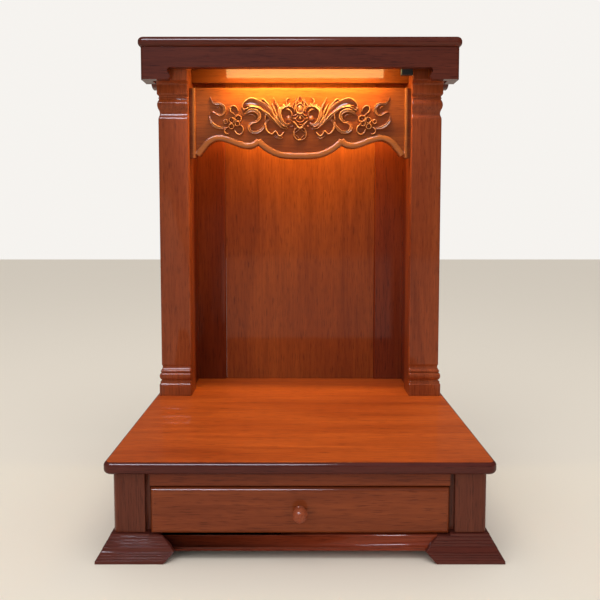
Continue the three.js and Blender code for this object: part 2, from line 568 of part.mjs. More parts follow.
// The middle: a pointed leaf crown, a domed brow, a nose scroll, a chin bar and a pierced coin.
const crown = band([[10.5, 14], [9.5, 25], [6.8, 32.5], [3, 39], [0, 45]], [2.4, 3, 2.8, 2.6, 1.6], 4);
const scroll = band([[15, 3.5], [8.5, 4.5], [3, 9], [0, 10.5]], [2, 2.6, 2.6, 2.6], 5);
const lip = band([[8.5, -1.5], [4, -5], [0, -5.2]], [1.6, 2.6, 2.6], 5);
const chin = band([[15.5, -1], [9.5, -6.5], [4, -13.5], [0, -17.5]], [2.4, 3.6, 3.8, 3.8], 6);
const coinAt = -25.6;
const coinRadius = 11.2;
const coinBar = band([[coinRadius, coinAt], [coinRadius * 0.45, coinAt - coinRadius * 0.5], [0, coinAt - coinRadius]],
  [2, 2.2, 2.2], 4.5);
const coinBrow = band([[coinRadius, coinAt], [coinRadius * 0.45, coinAt + coinRadius * 0.5], [0, coinAt + coinRadius]],
  [2, 2.2, 2.2], 4.5);
const halfMiddle = [crown, scroll, lip, chin, coinBar, coinBrow];
const middle = [boss(0, 20, 8, 10, 6, 12), boss(0, 30, 7, 10, 3, 8), boss(0, 2.5, 3, 4, 6, 6),
  carvedRing(0, coinAt, coinRadius, 2.8, 5, 16)];

function frieze() {
  const half = wasm.Manifold.union([...halfCarving, ...halfMiddle, sideBead, edgeBand(scallopOuter), edgeBand(scallopInner)]);
  const carving = wasm.Manifold.union([half, half.mirror([1, 0, 0]), ...middle]);
  const room = solidOf(block(-FRIEZE_HALF, FRIEZE_HALF, COLUMN_FRONT + 1, FRIEZE_FACE + FRIEZE_THICK, FRIEZE_LOW - 5, FRIEZE_TOP + 4));
  return friezeBoard().add(carving).intersect(room);
}
add('frieze', frieze(), panelWood());

// ---------------------------------------------------------------- cornice
// The S-shaped inner end of a dropped bracket, from the high edge down to its low edge.
function ogeeEnd(at, towards, steps = 6) {
  const points = [];
  const rise = FASCIA_LOW - BRACKET_LOW;
  for (let i = 0; i <= steps; i++) {
    const part = i / steps;
    const swell = 2.6 * Math.sin(2 * Math.PI * (part - 0.5)) - (part > 0.85 ? 2.2 * (part - 0.85) / 0.15 : 0);
    points.push([at + towards * swell, FASCIA_LOW - rise * part]);
  }
  return points;
}

const bracketEnd = FASCIA_HALF - BRACKET_WIDE;
const fasciaHigh = BOARD_TOP_LOW - GAP;
const fasciaRightHalf = [[0, FASCIA_LOW], ...ogeeEnd(bracketEnd, -1), [FASCIA_HALF, BRACKET_LOW], [FASCIA_HALF, fasciaHigh]];
const fasciaOutline = [...fasciaRightHalf, ...fasciaRightHalf.slice(1).reverse().map(([x, z]) => [-x, z])];
const fasciaPlate = solidOf(frontShape(polygon(fasciaOutline), FASCIA_FRONT, FASCIA_FRONT + FASCIA_THICK));
const fasciaArea = { x0: -FASCIA_HALF, x1: FASCIA_HALF, y0: FASCIA_FRONT, y1: FASCIA_FRONT + FASCIA_THICK };
const fasciaRound = solidOf(moulded(fasciaArea, [[BRACKET_LOW - 1, 0, 0], [fasciaHigh + 1, 0, 0]], { x0: 1, x1: 1 }, [6, 6, 0, 0], 4));
add('fascia_front', geometryOf(fasciaPlate.intersect(fasciaRound)), darkWood());

const sideStart = FASCIA_FRONT + FASCIA_THICK + GAP;
function cheekFront(steps = 5) {
  const points = [[SIDE_DROP_FROM - 3, FASCIA_LOW]];
  for (let i = 0; i <= steps; i++) {
    const angle = (Math.PI / 2) * (i / steps);
    points.push([SIDE_DROP_FROM + 20 * (1 - Math.cos(angle)), SIDE_DROP_LOW + 11 * (1 - Math.sin(angle))]);
  }
  return points;
}
const sideOutline = [
  [sideStart, BRACKET_LOW], ...ogeeEnd(FASCIA_FRONT + BRACKET_WIDE + 4, 1).reverse(),
  ...cheekFront(), ...ogeeEnd(SIDE_DROP_TO, 1).reverse(),
  [REAR, FASCIA_LOW], [REAR, fasciaHigh], [sideStart, fasciaHigh],
];
addPair('fascia', sideShape(polygon(sideOutline), FASCIA_HALF - FASCIA_THICK, FASCIA_HALF), darkWood);

const canopyArea = { x0: -CANOPY_HALF, x1: CANOPY_HALF, y0: CANOPY_FRONT, y1: REAR };
add('canopy_board', moulded(canopyArea, noseLevels(BOARD_TOP_LOW, CANOPY_THICK, CANOPY_ROUND, 5), { x0: 1, x1: 1 }, [11, 11, 0, 0], 4), darkWood());

// ---------------------------------------------------------------- lamp
const lampTop = BOARD_TOP_LOW - GAP;
const lensTop = LAMP_LOW + (lampTop - LAMP_LOW) - LAMP_HOUSING;
add('lamp_body', block(LAMP_LEFT, LAMP_RIGHT, LAMP_BACK, LAMP_BACK + LAMP_DEEP, lensTop + GAP, lampTop), lampBodyFinish());

const lensShape = new THREE.Shape()
  .moveTo(LAMP_BACK + 2, lensTop)
  .lineTo(LAMP_BACK + 2, LAMP_LOW + 8)
  .absarc(LAMP_BACK + LAMP_DEEP / 2, LAMP_LOW + 8, LAMP_DEEP / 2 - 2, Math.PI, 2 * Math.PI, false)
  .lineTo(LAMP_BACK + LAMP_DEEP - 2, lensTop);
add('lamp_lens', sideShape(lensShape, LAMP_LEFT + 3, LAMP_LENS_END, 5), lampLensFinish());
add('lamp_plug', block(LAMP_RIGHT + GAP, COLUMN_IN - 1, LAMP_BACK, LAMP_BACK + 13, 740, lampTop), lampPlugFinish());

export default cabinet;
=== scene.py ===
"""A household altar cabinet in varnished red hardwood: a low case with a drawer, a wide offering
board, and a column-framed niche under a cornice, lit by a small warm lamp behind the fascia."""

import math

import bmesh
import bpy
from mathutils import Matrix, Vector


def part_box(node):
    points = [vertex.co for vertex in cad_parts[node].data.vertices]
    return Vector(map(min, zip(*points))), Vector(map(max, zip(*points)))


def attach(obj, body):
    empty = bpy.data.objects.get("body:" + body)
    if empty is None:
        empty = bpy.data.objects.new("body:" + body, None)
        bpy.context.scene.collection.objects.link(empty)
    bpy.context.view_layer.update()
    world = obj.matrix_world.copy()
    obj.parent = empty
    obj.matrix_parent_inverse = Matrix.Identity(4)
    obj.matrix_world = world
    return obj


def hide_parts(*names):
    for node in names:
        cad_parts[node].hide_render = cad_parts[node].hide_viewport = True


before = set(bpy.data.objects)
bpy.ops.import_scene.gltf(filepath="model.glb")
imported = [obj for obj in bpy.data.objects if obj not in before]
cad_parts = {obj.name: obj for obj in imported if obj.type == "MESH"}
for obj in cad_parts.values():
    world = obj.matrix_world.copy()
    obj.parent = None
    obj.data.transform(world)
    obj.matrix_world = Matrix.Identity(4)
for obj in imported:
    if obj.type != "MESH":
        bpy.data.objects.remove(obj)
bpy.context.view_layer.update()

# The view and the room. The cabinet is seen square on, from a little above the offering board,
# standing on a plain pale floor under large soft lamps.
view = bpy.data.cameras.new("view")
view.sensor_width = 36
view.lens = 44.1
view.shift_y = -0.0468
viewer = bpy.data.objects.new("viewer", view)
viewer.location = (0, -1.2703, 0.4836)
viewer.rotation_euler = (math.radians(90 - 4.32), 0, 0)
bpy.context.scene.collection.objects.link(viewer)
bpy.context.scene.camera = viewer
bpy.context.scene.view_settings.view_transform = "Standard"

bpy.ops.object.select_all(action="DESELECT")
bpy.ops.mesh.primitive_plane_add(size=14)
floor = bpy.context.object
floor.name = "floor"
floor_finish = bpy.data.materials.new("pale_floor")
floor_finish.use_nodes = True
floor_shader = floor_finish.node_tree.nodes["Principled BSDF"]
floor_shader.inputs["Base Color"].default_value = (0.86, 0.8, 0.71, 1)
floor_shader.inputs["Roughness"].default_value = 0.8
floor_shader.inputs["Specular IOR Level"].default_value = 0.04
floor.data.materials.append(floor_finish)

room = bpy.data.worlds.new("room")
room.use_nodes = True
sky = room.node_tree.nodes["Background"]
sky.inputs["Color"].default_value = (1.0, 0.975, 0.94, 1)
ray = room.node_tree.nodes.new("ShaderNodeLightPath")
levels = [room.node_tree.nodes.new("ShaderNodeMapRange") for _ in range(2)]
levels[0].inputs["To Min"].default_value = 0.75
levels[0].inputs["To Max"].default_value = 0.06
levels[1].inputs["To Max"].default_value = 0.92
room.node_tree.links.new(ray.outputs["Is Glossy Ray"], levels[0].inputs["Value"])
room.node_tree.links.new(levels[0].outputs["Result"], levels[1].inputs["To Min"])
room.node_tree.links.new(ray.outputs["Is Camera Ray"], levels[1].inputs["Value"])
room.node_tree.links.new(levels[1].outputs["Result"], sky.inputs["Strength"])
bpy.context.scene.world = room


def soft_lamp(name, place, aim, size, power, color, gloss):
    """A large flat lamp turned towards a point. It lights the scene softly, or only shines in gloss."""
    light = bpy.data.lights.new(name, "AREA")
    light.shape = "RECTANGLE"
    light.size, light.size_y = size
    light.energy = power
    light.color = color
    lamp = bpy.data.objects.new(name, light)
    lamp.location = place
    lamp.rotation_euler = (Vector(aim) - Vector(place)).to_track_quat("-Z", "Y").to_euler()
    lamp.visible_camera = False
    lamp.visible_glossy = gloss
    lamp.visible_diffuse = not gloss
    bpy.context.scene.collection.objects.link(lamp)
    return lamp


soft_lamp("overhead", (0, -0.7, 2.6), (0, -0.1, 0.1), (2.4, 1.6), 17, (1, 0.98, 0.95), False)
soft_lamp("front_fill", (-1.6, -2.4, 1.3), (0, 0, 0.4), (1.6, 1.4), 9, (1, 0.97, 0.94), False)
soft_lamp("window", (-0.9, -2.2, 2.7), (0, 0, 0.4), (2.2, 1.0), 230, (0.84, 0.86, 1), True)


# The feet. Each is an angle of two thick boards mitred at its outer corner, moulded with a stack
# of small steps that spread towards the floor, and glued under its post.
def varnished_wood(name, along, shade, shift=(0, 0, 0), gloss=0.06, vary=0.3):
    """Red hardwood under clear varnish. Its grain runs along one axis, in soft figure, fine streaks
    and short dark pores, about one middle shade."""
    finish = bpy.data.materials.new(name)
    finish.use_nodes = True
    nodes, link = finish.node_tree.nodes, finish.node_tree.links.new
    shader = nodes["Principled BSDF"]
    place = nodes.new("ShaderNodeTexCoord")

    def noise(scale, stretch, detail, rough, warp=0.0):
        grain = nodes.new("ShaderNodeMapping")
        grain.inputs["Location"].default_value = shift
        grain.inputs["Scale"].default_value = [stretch if axis == along else 1 for axis in "XYZ"]
        link(place.outputs["Object"], grain.inputs["Vector"])
        texture = nodes.new("ShaderNodeTexNoise")
        texture.inputs["Scale"].default_value = scale
        texture.inputs["Detail"].default_value = detail
        texture.inputs["Roughness"].default_value = rough
        texture.inputs["Distortion"].default_value = warp
        link(grain.outputs["Vector"], texture.inputs["Vector"])
        return texture.outputs["Fac"]

    def ramp(source, stops):
        shades = nodes.new("ShaderNodeValToRGB")
        while len(shades.color_ramp.elements) < len(stops):
            shades.color_ramp.elements.new(0.5)
        for element, (at, color) in zip(shades.color_ramp.elements, stops):
            element.position = at
            element.color = (*color, 1)
        link(source, shades.inputs["Fac"])
        return shades.outputs["Color"]

    def mixed(kind, factor, first, second):
        mix = nodes.new("ShaderNodeMix")
        mix.data_type = "RGBA"
        mix.blend_type = kind
        mix.inputs["Factor"].default_value = factor
        link(first, mix.inputs["A"])
        link(second, mix.inputs["B"])
        return mix.outputs["Result"]

    figure = noise(20, 0.1, 5, 0.55, 1.2)
    streaks = noise(230, 0.035, 4, 0.65, 0.2)
    both = mixed("MIX", 0.45, figure, streaks)
    deep = [value * (1 - vary) ** power for value, power in zip(shade, (1, 1.3, 1.4))]
    light = [value * (1 + vary) ** power for value, power in zip(shade, (1, 1.3, 1.3))]
    body = ramp(both, [(0.32, deep), (0.5, shade), (0.68, light)])
    blush = ramp(noise(7, 0.35, 2, 0.5), [(0.35, (0.86, 0.8, 0.8)), (0.65, (1.1, 1.16, 1.2))])
    pores = ramp(noise(900, 0.045, 2, 0.5), [(0.32, (0.42, 0.36, 0.34)), (0.44, (1, 1, 1))])
    shaded = mixed("MULTIPLY", 0.9, body, blush)
    link(mixed("MULTIPLY", 0.75, shaded, pores), shader.inputs["Base Color"])
    ripple = nodes.new("ShaderNodeBump")
    ripple.inputs["Strength"].default_value = 0.1
    ripple.inputs["Distance"].default_value = 0.0003
    link(both, ripple.inputs["Height"])
    link(ripple.outputs["Normal"], shader.inputs["Normal"])
    dull = nodes.new("ShaderNodeMapRange")
    dull.inputs["To Min"].default_value = 0.4
    dull.inputs["To Max"].default_value = 0.65
    link(streaks, dull.inputs["Value"])
    link(dull.outputs["Result"], shader.inputs["Roughness"])
    shader.inputs["Specular IOR Level"].default_value = 0.06
    shader.inputs["Coat Weight"].default_value = 0.5
    shader.inputs["Coat IOR"].default_value = 1.4
    shader.inputs["Coat Roughness"].default_value = gloss
    return finish


def choose(piece):
    """Leave this piece as the only selected and active one, in object mode."""
    if bpy.context.mode != "OBJECT":
        bpy.ops.object.mode_set(mode="OBJECT")
    bpy.ops.object.select_all(action="DESELECT")
    bpy.context.view_layer.objects.active = piece
    piece.select_set(True)


def pick(piece, kind, wanted):
    """In edit mode, select only the vertices, edges or faces that pass a test."""
    if bpy.context.mode == "OBJECT":
        choose(piece)
        bpy.ops.object.mode_set(mode="EDIT")
    bpy.ops.mesh.select_mode(type=kind)
    bpy.ops.mesh.select_all(action="DESELECT")
    cage = bmesh.from_edit_mesh(piece.data)
    for part in {"VERT": cage.verts, "EDGE": cage.edges, "FACE": cage.faces}[kind]:
        if wanted(part):
            part.select_set(True)
    cage.select_flush_mode()
    bmesh.update_edit_mesh(piece.data)


def block(name, low, high):
    """A square-edged piece of timber between two opposite corners."""
    if bpy.context.mode != "OBJECT":
        bpy.ops.object.mode_set(mode="OBJECT")
    bpy.ops.object.select_all(action="DESELECT")
    bpy.ops.mesh.primitive_cube_add(size=1, location=[(a + b) / 2 for a, b in zip(low, high)])
    piece = bpy.context.object
    piece.name = name
    piece.scale = [b - a for a, b in zip(low, high)]
    bpy.ops.object.transform_apply(location=True, rotation=True, scale=True)
    return piece


def flat_plan(name, x0, x1, y0, y1, z):
    """A level rectangle, ready to be drawn up into a solid."""
    bpy.ops.object.select_all(action="DESELECT")
    bpy.ops.mesh.primitive_plane_add(size=1, location=((x0 + x1) / 2, (y0 + y1) / 2, z))
    piece = bpy.context.object
    piece.name = name
    piece.scale = (x1 - x0, y1 - y0, 1)
    bpy.ops.object.transform_apply(location=True, rotation=True, scale=True)
    return piece


def draw_up(piece, levels, on_front, on_outer):
    """Draw a level plan upwards through (height, front, outer) levels in millimetres. The walls
    that the two tests name swell out by the front and outer amounts on the way."""
    height, front, outer = [value / 1000 for value in levels[0]]
    for level in levels[1:]:
        above, to_front, to_outer = [value / 1000 for value in level]
        pick(piece, "VERT", lambda v: abs(v.co.z - height) < 1e-6)
        bpy.ops.mesh.extrude_region_move(TRANSFORM_OT_translate={"value": (0, 0, above - height)})
        height = above
        if to_front != front:
            pick(piece, "VERT", lambda v: abs(v.co.z - height) < 1e-6 and on_front(v.co))
            bpy.ops.transform.translate(value=(0, front - to_front, 0))
        if to_outer != outer:
            pick(piece, "VERT", lambda v: abs(v.co.z - height) < 1e-6 and on_outer(v.co))
            bpy.ops.transform.translate(value=(to_outer - outer, 0, 0))
        front, outer = to_front, to_outer
    bpy.ops.mesh.select_all(action="SELECT")
    bpy.ops.mesh.normals_make_consistent(inside=False)
    bpy.ops.object.mode_set(mode="OBJECT")


def saw_off(piece, point, outwards):
    """Saw a piece through at a point and drop what lies on the outward side."""
    choose(piece)
    bpy.ops.object.mode_set(mode="EDIT")
    bpy.ops.mesh.select_all(action="SELECT")
    bpy.ops.mesh.bisect(plane_co=point, plane_no=outwards, use_fill=True, clear_outer=True)
    bpy.ops.object.mode_set(mode="OBJECT")


def chop_out(piece, low, high):
    """Chop a square-cornered housing out of a piece."""
    chisel = block("chisel", low, high)
    choose(piece)
    cut = piece.modifiers.new("cut", "BOOLEAN")
    cut.operation = "DIFFERENCE"
    cut.solver = "EXACT"
    cut.object = chisel
    bpy.ops.object.modifier_apply(modifier="cut")
    bpy.data.objects.remove(chisel)


def soften(piece, width, steps=2, smooth=38):
    """Ease the sharp arrises with a small rounding and shade the piece smooth."""
    choose(piece)
    if width:
        eased = piece.modifiers.new("eased", "BEVEL")
        eased.width = width
        eased.segments = steps
        eased.limit_method = "ANGLE"
        eased.angle_limit = math.radians(28)
        bpy.ops.object.modifier_apply(modifier="eased")
    bpy.ops.object.shade_smooth_by_angle(angle=math.radians(smooth))
    even = piece.modifiers.new("even", "WEIGHTED_NORMAL")
    even.keep_sharp = True
    bpy.ops.object.modifier_apply(modifier="even")


def fit(piece, finish, body, slot, *nodes):
    """Give a piece its finish, fix it to its body and let it stand for its plain solids."""
    piece.data.materials.clear()
    piece.data.materials.append(finish)
    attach(piece, body)
    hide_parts(*nodes)


def other_side(piece, name):
    """A mirrored copy of a right-hand piece, for the left."""
    choose(piece)
    twin = piece.copy()
    twin.data = piece.data.copy()
    twin.name = name
    bpy.context.scene.collection.objects.link(twin)
    choose(twin)
    twin.scale.x = -1
    bpy.ops.object.transform_apply(location=False, rotation=False, scale=True)
    bpy.ops.object.mode_set(mode="EDIT")
    bpy.ops.mesh.select_all(action="SELECT")
    bpy.ops.mesh.normals_make_consistent(inside=False)
    bpy.ops.object.mode_set(mode="OBJECT")
    return twin


foot_levels = [
    (0, 24, 21.6), (4.4, 23.6, 21.2), (5.2, 21.7, 19.5), (7.4, 21.3, 19.2), (8.0, 19.7, 17.7),
    (10.2, 19.4, 17.4), (10.8, 17.8, 16.0), (12.8, 17.5, 15.7), (13.4, 15.6, 14.0),
    (19.4, 14.0, 12.6), (20.4, 11.2, 10.1), (23.4, 10.9, 9.8), (24.0, 9.2, 8.3),
    (26.6, 8.9, 8.0), (27.4, 7.0, 6.3), (31.0, 6.6, 5.9), (32.0, 4.6, 4.1), (35.0, 4.2, 3.8),
]
foot_wood = varnished_wood("foot_wood", "X", (0.095, 0.018, 0.011), (0.3, 0.1, 0), 0.08)
post_inside, toe_side, toe_front, rear = 0.2133, 0.2864, -0.28, 0.28
for where, y0, y1, leg, housing in (
    ("front", toe_front, -0.165, (-0.236, -0.206), -1),
    ("rear", 0.19, rear, (0.26, 0.23), 1),
):
    foot = flat_plan(f"{where}_foot_right", 0.172, toe_side, y0, y1, 0)
    front_amounts = foot_levels if where == "front" else [(z, 0, outer) for z, _, outer in foot_levels]
    draw_up(foot, front_amounts, lambda co: co.y < -0.24, lambda co: co.x > 0.24)
    saw_off(foot, (0.191, 0, 0), (-15, 0, -13))
    saw_off(foot, (0.1782, 0, 0.0155), (-17, 0, 22))
    end = toe_front + 0.0954 if where == "front" else rear + 0.0216 - 0.0954
    saw_off(foot, (0, end, 0), (0, -15 * housing, -13))
    saw_off(foot, (0, end - 0.0128 * housing, 0.0155), (0, -17 * housing, 22))
    if where == "front":
        chop_out(foot, (0.15, -0.236, -0.01), (post_inside, -0.15, 0.05))
        chop_out(foot, (0.15, -0.206, -0.01), (0.2448, -0.15, 0.05))
        chop_out(foot, (0.15, -0.3, 0.0325), (post_inside, -0.15, 0.05))
        chop_out(foot, (0.15, -0.206, 0.0325), (0.3, -0.15, 0.05))
    else:
        chop_out(foot, (0.15, 0.15, -0.01), (post_inside, 0.26, 0.05))
        chop_out(foot, (0.15, 0.15, -0.01), (0.2448, 0.23, 0.05))
        chop_out(foot, (0.15, 0.15, 0.0325), (post_inside, 0.3, 0.05))
        chop_out(foot, (0.15, 0.15, 0.0325), (0.3, 0.23, 0.05))
    soften(foot, 0.0006)
    left_foot = other_side(foot, f"{where}_foot_left")
    fit(foot, foot_wood, "cabinet", "dark_wood", f"foot_{where}_right")
    fit(left_foot, foot_wood, "cabinet", "dark_wood", f"foot_{where}_left")


# The skirt. Moulded boards close the gaps between the feet: a top fillet, a hollow and a flat
# lower band, cut at the ends to fit round the feet. The one at the wall is a plain board.
def hollow(z0, z1, e0, e1, steps=7):
    """The levels of a cove that runs in from e0 to e1 as it rises."""
    turns = [math.pi / 2 * i / steps for i in range(steps + 1)]
    return [(z0 + (z1 - z0) * (1 - math.cos(a)), e0 + (e1 - e0) * math.sin(a)) for a in turns]


def trim_to(piece, other):
    """Cut a piece where another one passes through it."""
    choose(piece)
    cut = piece.modifiers.new("cut", "BOOLEAN")
    cut.operation = "DIFFERENCE"
    cut.solver = "EXACT"
    cut.object = other
    bpy.ops.object.modifier_apply(modifier="cut")


skirt_levels = [
    (12, 7.4), (12.6, 8), (17.6, 8), (18.1, 6.4), *hollow(18.6, 29.2, 6.4, 1.5),
    (29.8, 2.4), (31.9, 2.4), (32.5, 1.8),
]
skirt_wood = varnished_wood("skirt_wood", "X", (0.22, 0.034, 0.011), (0, 0.4, 0.1), 0.09)
skirt_side_wood = varnished_wood("skirt_side_wood", "Y", (0.22, 0.034, 0.011), (0.2, 0, 0.1), 0.09)
skirt = flat_plan("front_skirt", -0.2, 0.2, -0.2634, -0.238, 0.012)
draw_up(skirt, [(z, e, 0) for z, e in skirt_levels], lambda co: co.y < -0.25, lambda co: False)
side_skirt = flat_plan("side_skirt_right", 0.2468, 0.2722, -0.18, 0.2, 0.012)
draw_up(side_skirt, [(z, 0, e) for z, e in skirt_levels], lambda co: False, lambda co: co.x > 0.26)
back_skirt = block("back_skirt", (-0.2, 0.262, 0.012), (0.2, 0.279, 0.0325))
for board, meets in (
    (skirt, ("front_foot_right", "front_foot_left")),
    (side_skirt, ("front_foot_right", "rear_foot_right")),
    (back_skirt, ("rear_foot_right", "rear_foot_left")),
):
    for foot_name in meets:
        trim_to(board, bpy.data.objects[foot_name])
    soften(board, 0.0004)
fit(skirt, skirt_wood, "cabinet", "dark_wood", "skirt_front")
fit(other_side(side_skirt, "side_skirt_left"), skirt_side_wood, "cabinet", "dark_wood", "skirt_left")
fit(side_skirt, skirt_side_wood, "cabinet", "dark_wood", "skirt_right")
fit(back_skirt, skirt_wood, "cabinet", "dark_wood", "skirt_back")


# The posts. Four square posts stand on the feet; the front pair have a rounded outer corner and a
# shadow groove beside the drawer. They are planed hardwood, glued and pegged to the rails.
def round_over(piece, chosen, width, steps):
    """Round the edges that pass a test."""
    pick(piece, "EDGE", chosen)
    bpy.ops.mesh.bevel(offset=width, segments=steps, profile=0.5, affect="EDGES")
    bpy.ops.object.mode_set(mode="OBJECT")


def upright_at(x, y):
    """A test for the vertical edges at one corner of the plan."""
    return lambda edge: all(abs(v.co.x - x) < 1e-5 and abs(v.co.y - y) < 1e-5 for v in edge.verts)


post_wood = varnished_wood("post_wood", "Z", (0.125, 0.027, 0.012), (0.05, 0.3, 0), 0.07)
low_edge, high_edge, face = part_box("post_front_right")[0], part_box("post_front_right")[1], -0.256
post = block("front_post_right", low_edge, high_edge)
round_over(post, upright_at(high_edge.x, low_edge.y), 0.006, 6)
chop_out(post, (0.2, -0.27, 0.03), (0.2198, -0.247, 0.13))
soften(post, 0.0009)
fit(other_side(post, "front_post_left"), post_wood, "cabinet", "red_wood", "post_front_left")
fit(post, post_wood, "cabinet", "red_wood", "post_front_right")
post = block("rear_post_right", *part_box("post_rear_right"))
round_over(post, upright_at(0.2648, 0.28), 0.003, 4)
soften(post, 0.0009)
fit(other_side(post, "rear_post_left"), post_wood, "cabinet", "red_wood", "post_rear_left")
fit(post, post_wood, "cabinet", "red_wood", "post_rear_right")


# The rail and the walls of the case. A narrow rail crosses above the drawer and plain boards
# close both sides and the back; all are hardwood with the grain running along them.
rail_wood = varnished_wood("rail_wood", "X", (0.185, 0.034, 0.009), (0.2, 0.7, 0.4), 0.07)
wall_wood = varnished_wood("wall_wood", "Y", (0.16, 0.03, 0.009), (0.6, 0.2, 0.4), 0.09)
plain_back_wood = varnished_wood("plain_back_wood", "X", (0.2, 0.06, 0.025), (0.1, 0.9, 0.4), 0.3)
rail = block("drawer_rail", *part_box("rail_front"))
round_over(rail, lambda e: all(v.co.y < -0.25 and v.co.z < 0.11 for v in e.verts), 0.002, 4)
soften(rail, 0.0005)
fit(rail, rail_wood, "cabinet", "red_wood", "rail_front")
wall = block("case_wall_right", *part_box("case_side_right"))
soften(wall, 0.0008)
fit(other_side(wall, "case_wall_left"), wall_wood, "cabinet", "red_wood", "case_side_left")
fit(wall, wall_wood, "cabinet", "red_wood", "case_side_right")
rear_wall = block("case_rear_wall", *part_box("case_back"))
soften(rear_wall, 0.0008)
fit(rear_wall, plain_back_wood, "cabinet", "panel_wood", "case_back")


# The drawer's slides and box. Two rebated strips are screwed inside the case, and the box between
# them is pale wood, planed and left bare, with its bottom let into the sides.
bare_wood = varnished_wood("bare_wood", "Y", (0.48, 0.29, 0.15), (0.3, 0.3, 0.3), 0.4)
bare_wood.node_tree.nodes["Principled BSDF"].inputs["Coat Weight"].default_value = 0.1
bare_cross_wood = varnished_wood("bare_cross_wood", "X", (0.48, 0.29, 0.15), (0.7, 0.1, 0.3), 0.4)
bare_cross_wood.node_tree.nodes["Principled BSDF"].inputs["Coat Weight"].default_value = 0.1
for side in ("right", "left"):
    sign = 1 if side == "right" else -1
    node = f"drawer_runner_{side}"
    low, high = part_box(node)
    strip = block(f"drawer_slide_{side}", low, high)
    housing = sorted((sign * 0.19, sign * 0.207))
    chop_out(strip, (housing[0], low.y - 0.01, 0.039), (housing[1], high.y + 0.01, 0.06))
    soften(strip, 0.0006)
    fit(strip, bare_wood, "cabinet", "inner_wood", node)
    box_side = block(f"drawer_box_{side}", *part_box(f"drawer_side_{side}"))
    soften(box_side, 0.0012, 3)
    fit(box_side, bare_wood, "drawer", "inner_wood", f"drawer_side_{side}")
box_back = block("drawer_box_back", *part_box("drawer_back"))
soften(box_back, 0.0012, 3)
fit(box_back, bare_cross_wood, "drawer", "inner_wood", "drawer_back")
box_bottom = block("drawer_box_bottom", *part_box("drawer_bottom"))
soften(box_bottom, 0.0004)
fit(box_bottom, bare_cross_wood, "drawer", "inner_wood", "drawer_bottom")


# The drawer front. One wide board whose face rolls over at all four edges, varnished with the rest.
drawer_wood = varnished_wood("drawer_wood", "X", (0.215, 0.042, 0.01), (0.37, 0.25, 0.83), 0.06)
low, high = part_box("drawer_front")
drawer_face = block("drawer_face", low, high)
round_over(drawer_face, lambda e: all(v.co.y < low.y + 1e-5 for v in e.verts), 0.0062, 6)
soften(drawer_face, 0.0005)
fit(drawer_face, drawer_wood, "drawer", "red_wood", "drawer_front")


# The knob. A turned collar, a neck and a flattened ball, in the drawer's wood, its stem glued
# into a hole bored in the middle of the front.
knob_low, knob_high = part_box("drawer_knob")
knob_back, knob_level = knob_high.y, (knob_low.z + knob_high.z) / 2
ball = [
    (9.4 + 1.6 * math.sin(a), 14.5 - 3.2 * math.cos(a)) for a in [math.pi / 2 * i / 5 for i in range(6)]
] + [(11 * math.cos(a), 14.5 + 10.5 * math.sin(a)) for a in [math.pi / 2 * i / 12 for i in range(1, 13)]]
turning = [(0, 0), (7.6, 0), (8.4, 0.5), (8.6, 1.2), (8.4, 2), (7.8, 2.7), (6.4, 3.2), (5.4, 4), (4.9, 5.3),
           (4.8, 7), (5.4, 8.6), (6.6, 9.9), (8.1, 10.8), *ball]
bpy.ops.object.select_all(action="DESELECT")
bpy.ops.mesh.primitive_plane_add(size=0.002, location=(0, knob_back, knob_level))
knob = bpy.context.object
knob.name = "turned_knob"
bpy.ops.object.transform_apply(location=True, rotation=True, scale=True)
bpy.ops.object.mode_set(mode="EDIT")
bpy.ops.mesh.select_mode(type="VERT")
bpy.ops.mesh.select_all(action="SELECT")
bpy.ops.mesh.merge(type="CENTER")
for (r0, h0), (r1, h1) in zip(turning, turning[1:]):
    bpy.ops.mesh.extrude_region_move(
        TRANSFORM_OT_translate={"value": ((r1 - r0) / 1000, (h0 - h1) / 1000, 0)})
bpy.ops.mesh.select_all(action="SELECT")
bpy.ops.mesh.spin(steps=64, angle=math.tau, center=(0, knob_back, knob_level), axis=(0, 1, 0))
bpy.ops.mesh.select_all(action="SELECT")
bpy.ops.mesh.remove_doubles(threshold=1e-5)
bpy.ops.mesh.normals_make_consistent(inside=False)
bpy.ops.object.mode_set(mode="OBJECT")
soften(knob, 0, smooth=60)
knob_wood = varnished_wood("knob_wood", "Y", (0.27, 0.058, 0.022), (0.1, 0.2, 0.6), 0.05)
fit(knob, knob_wood, "drawer", "red_wood", "drawer_knob")


# The offering board. A wide glued-up board lies on the posts and overhangs the case, its ends and
# front rounded over and its front corners curved; it carries a deep, glossy varnish.
def nosed_board(name, low, high, corner, rounding):
    """A board rounded over along its front and both ends, with curved front corners."""
    board = block(name, low, high)
    round_over(board, upright_at(high[0], low[1]), corner, 10)
    round_over(board, upright_at(low[0], low[1]), corner, 10)

    def rim(edge):
        a, b = edge.verts[0].co, edge.verts[1].co
        return abs(a.z - b.z) < 1e-6 and not (a.y > high[1] - 1e-5 and b.y > high[1] - 1e-5)

    round_over(board, rim, rounding, 8)
    soften(board, 0)
    return board


# The board's top is painted far lighter and more orange than its nose. This is a painted reflection of the lit niche
# over the wood's own dark tone.
board_top_painted_reflection = varnished_wood("board_top_painted_reflection", "X", (0.44, 0.08, 0.011), (0.5, 0.15, 0.2), 0.05)
board_edge_wood = varnished_wood("board_edge_wood", "X", (0.09, 0.016, 0.01), (0.2, 0.5, 0.3), 0.04)
offering_board = nosed_board("offering_board", *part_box("base_top"), 0.0125, 0.0065)
fit(offering_board, board_top_painted_reflection, "cabinet", "dark_wood", "base_top")
# Faces below the flat top take the wood's dark tone, and the flat top keeps the painted reflection.
offering_board.data.materials.append(board_edge_wood)
for side in offering_board.data.polygons:
    side.material_index = 0 if side.center.z > 0.1415 else 1


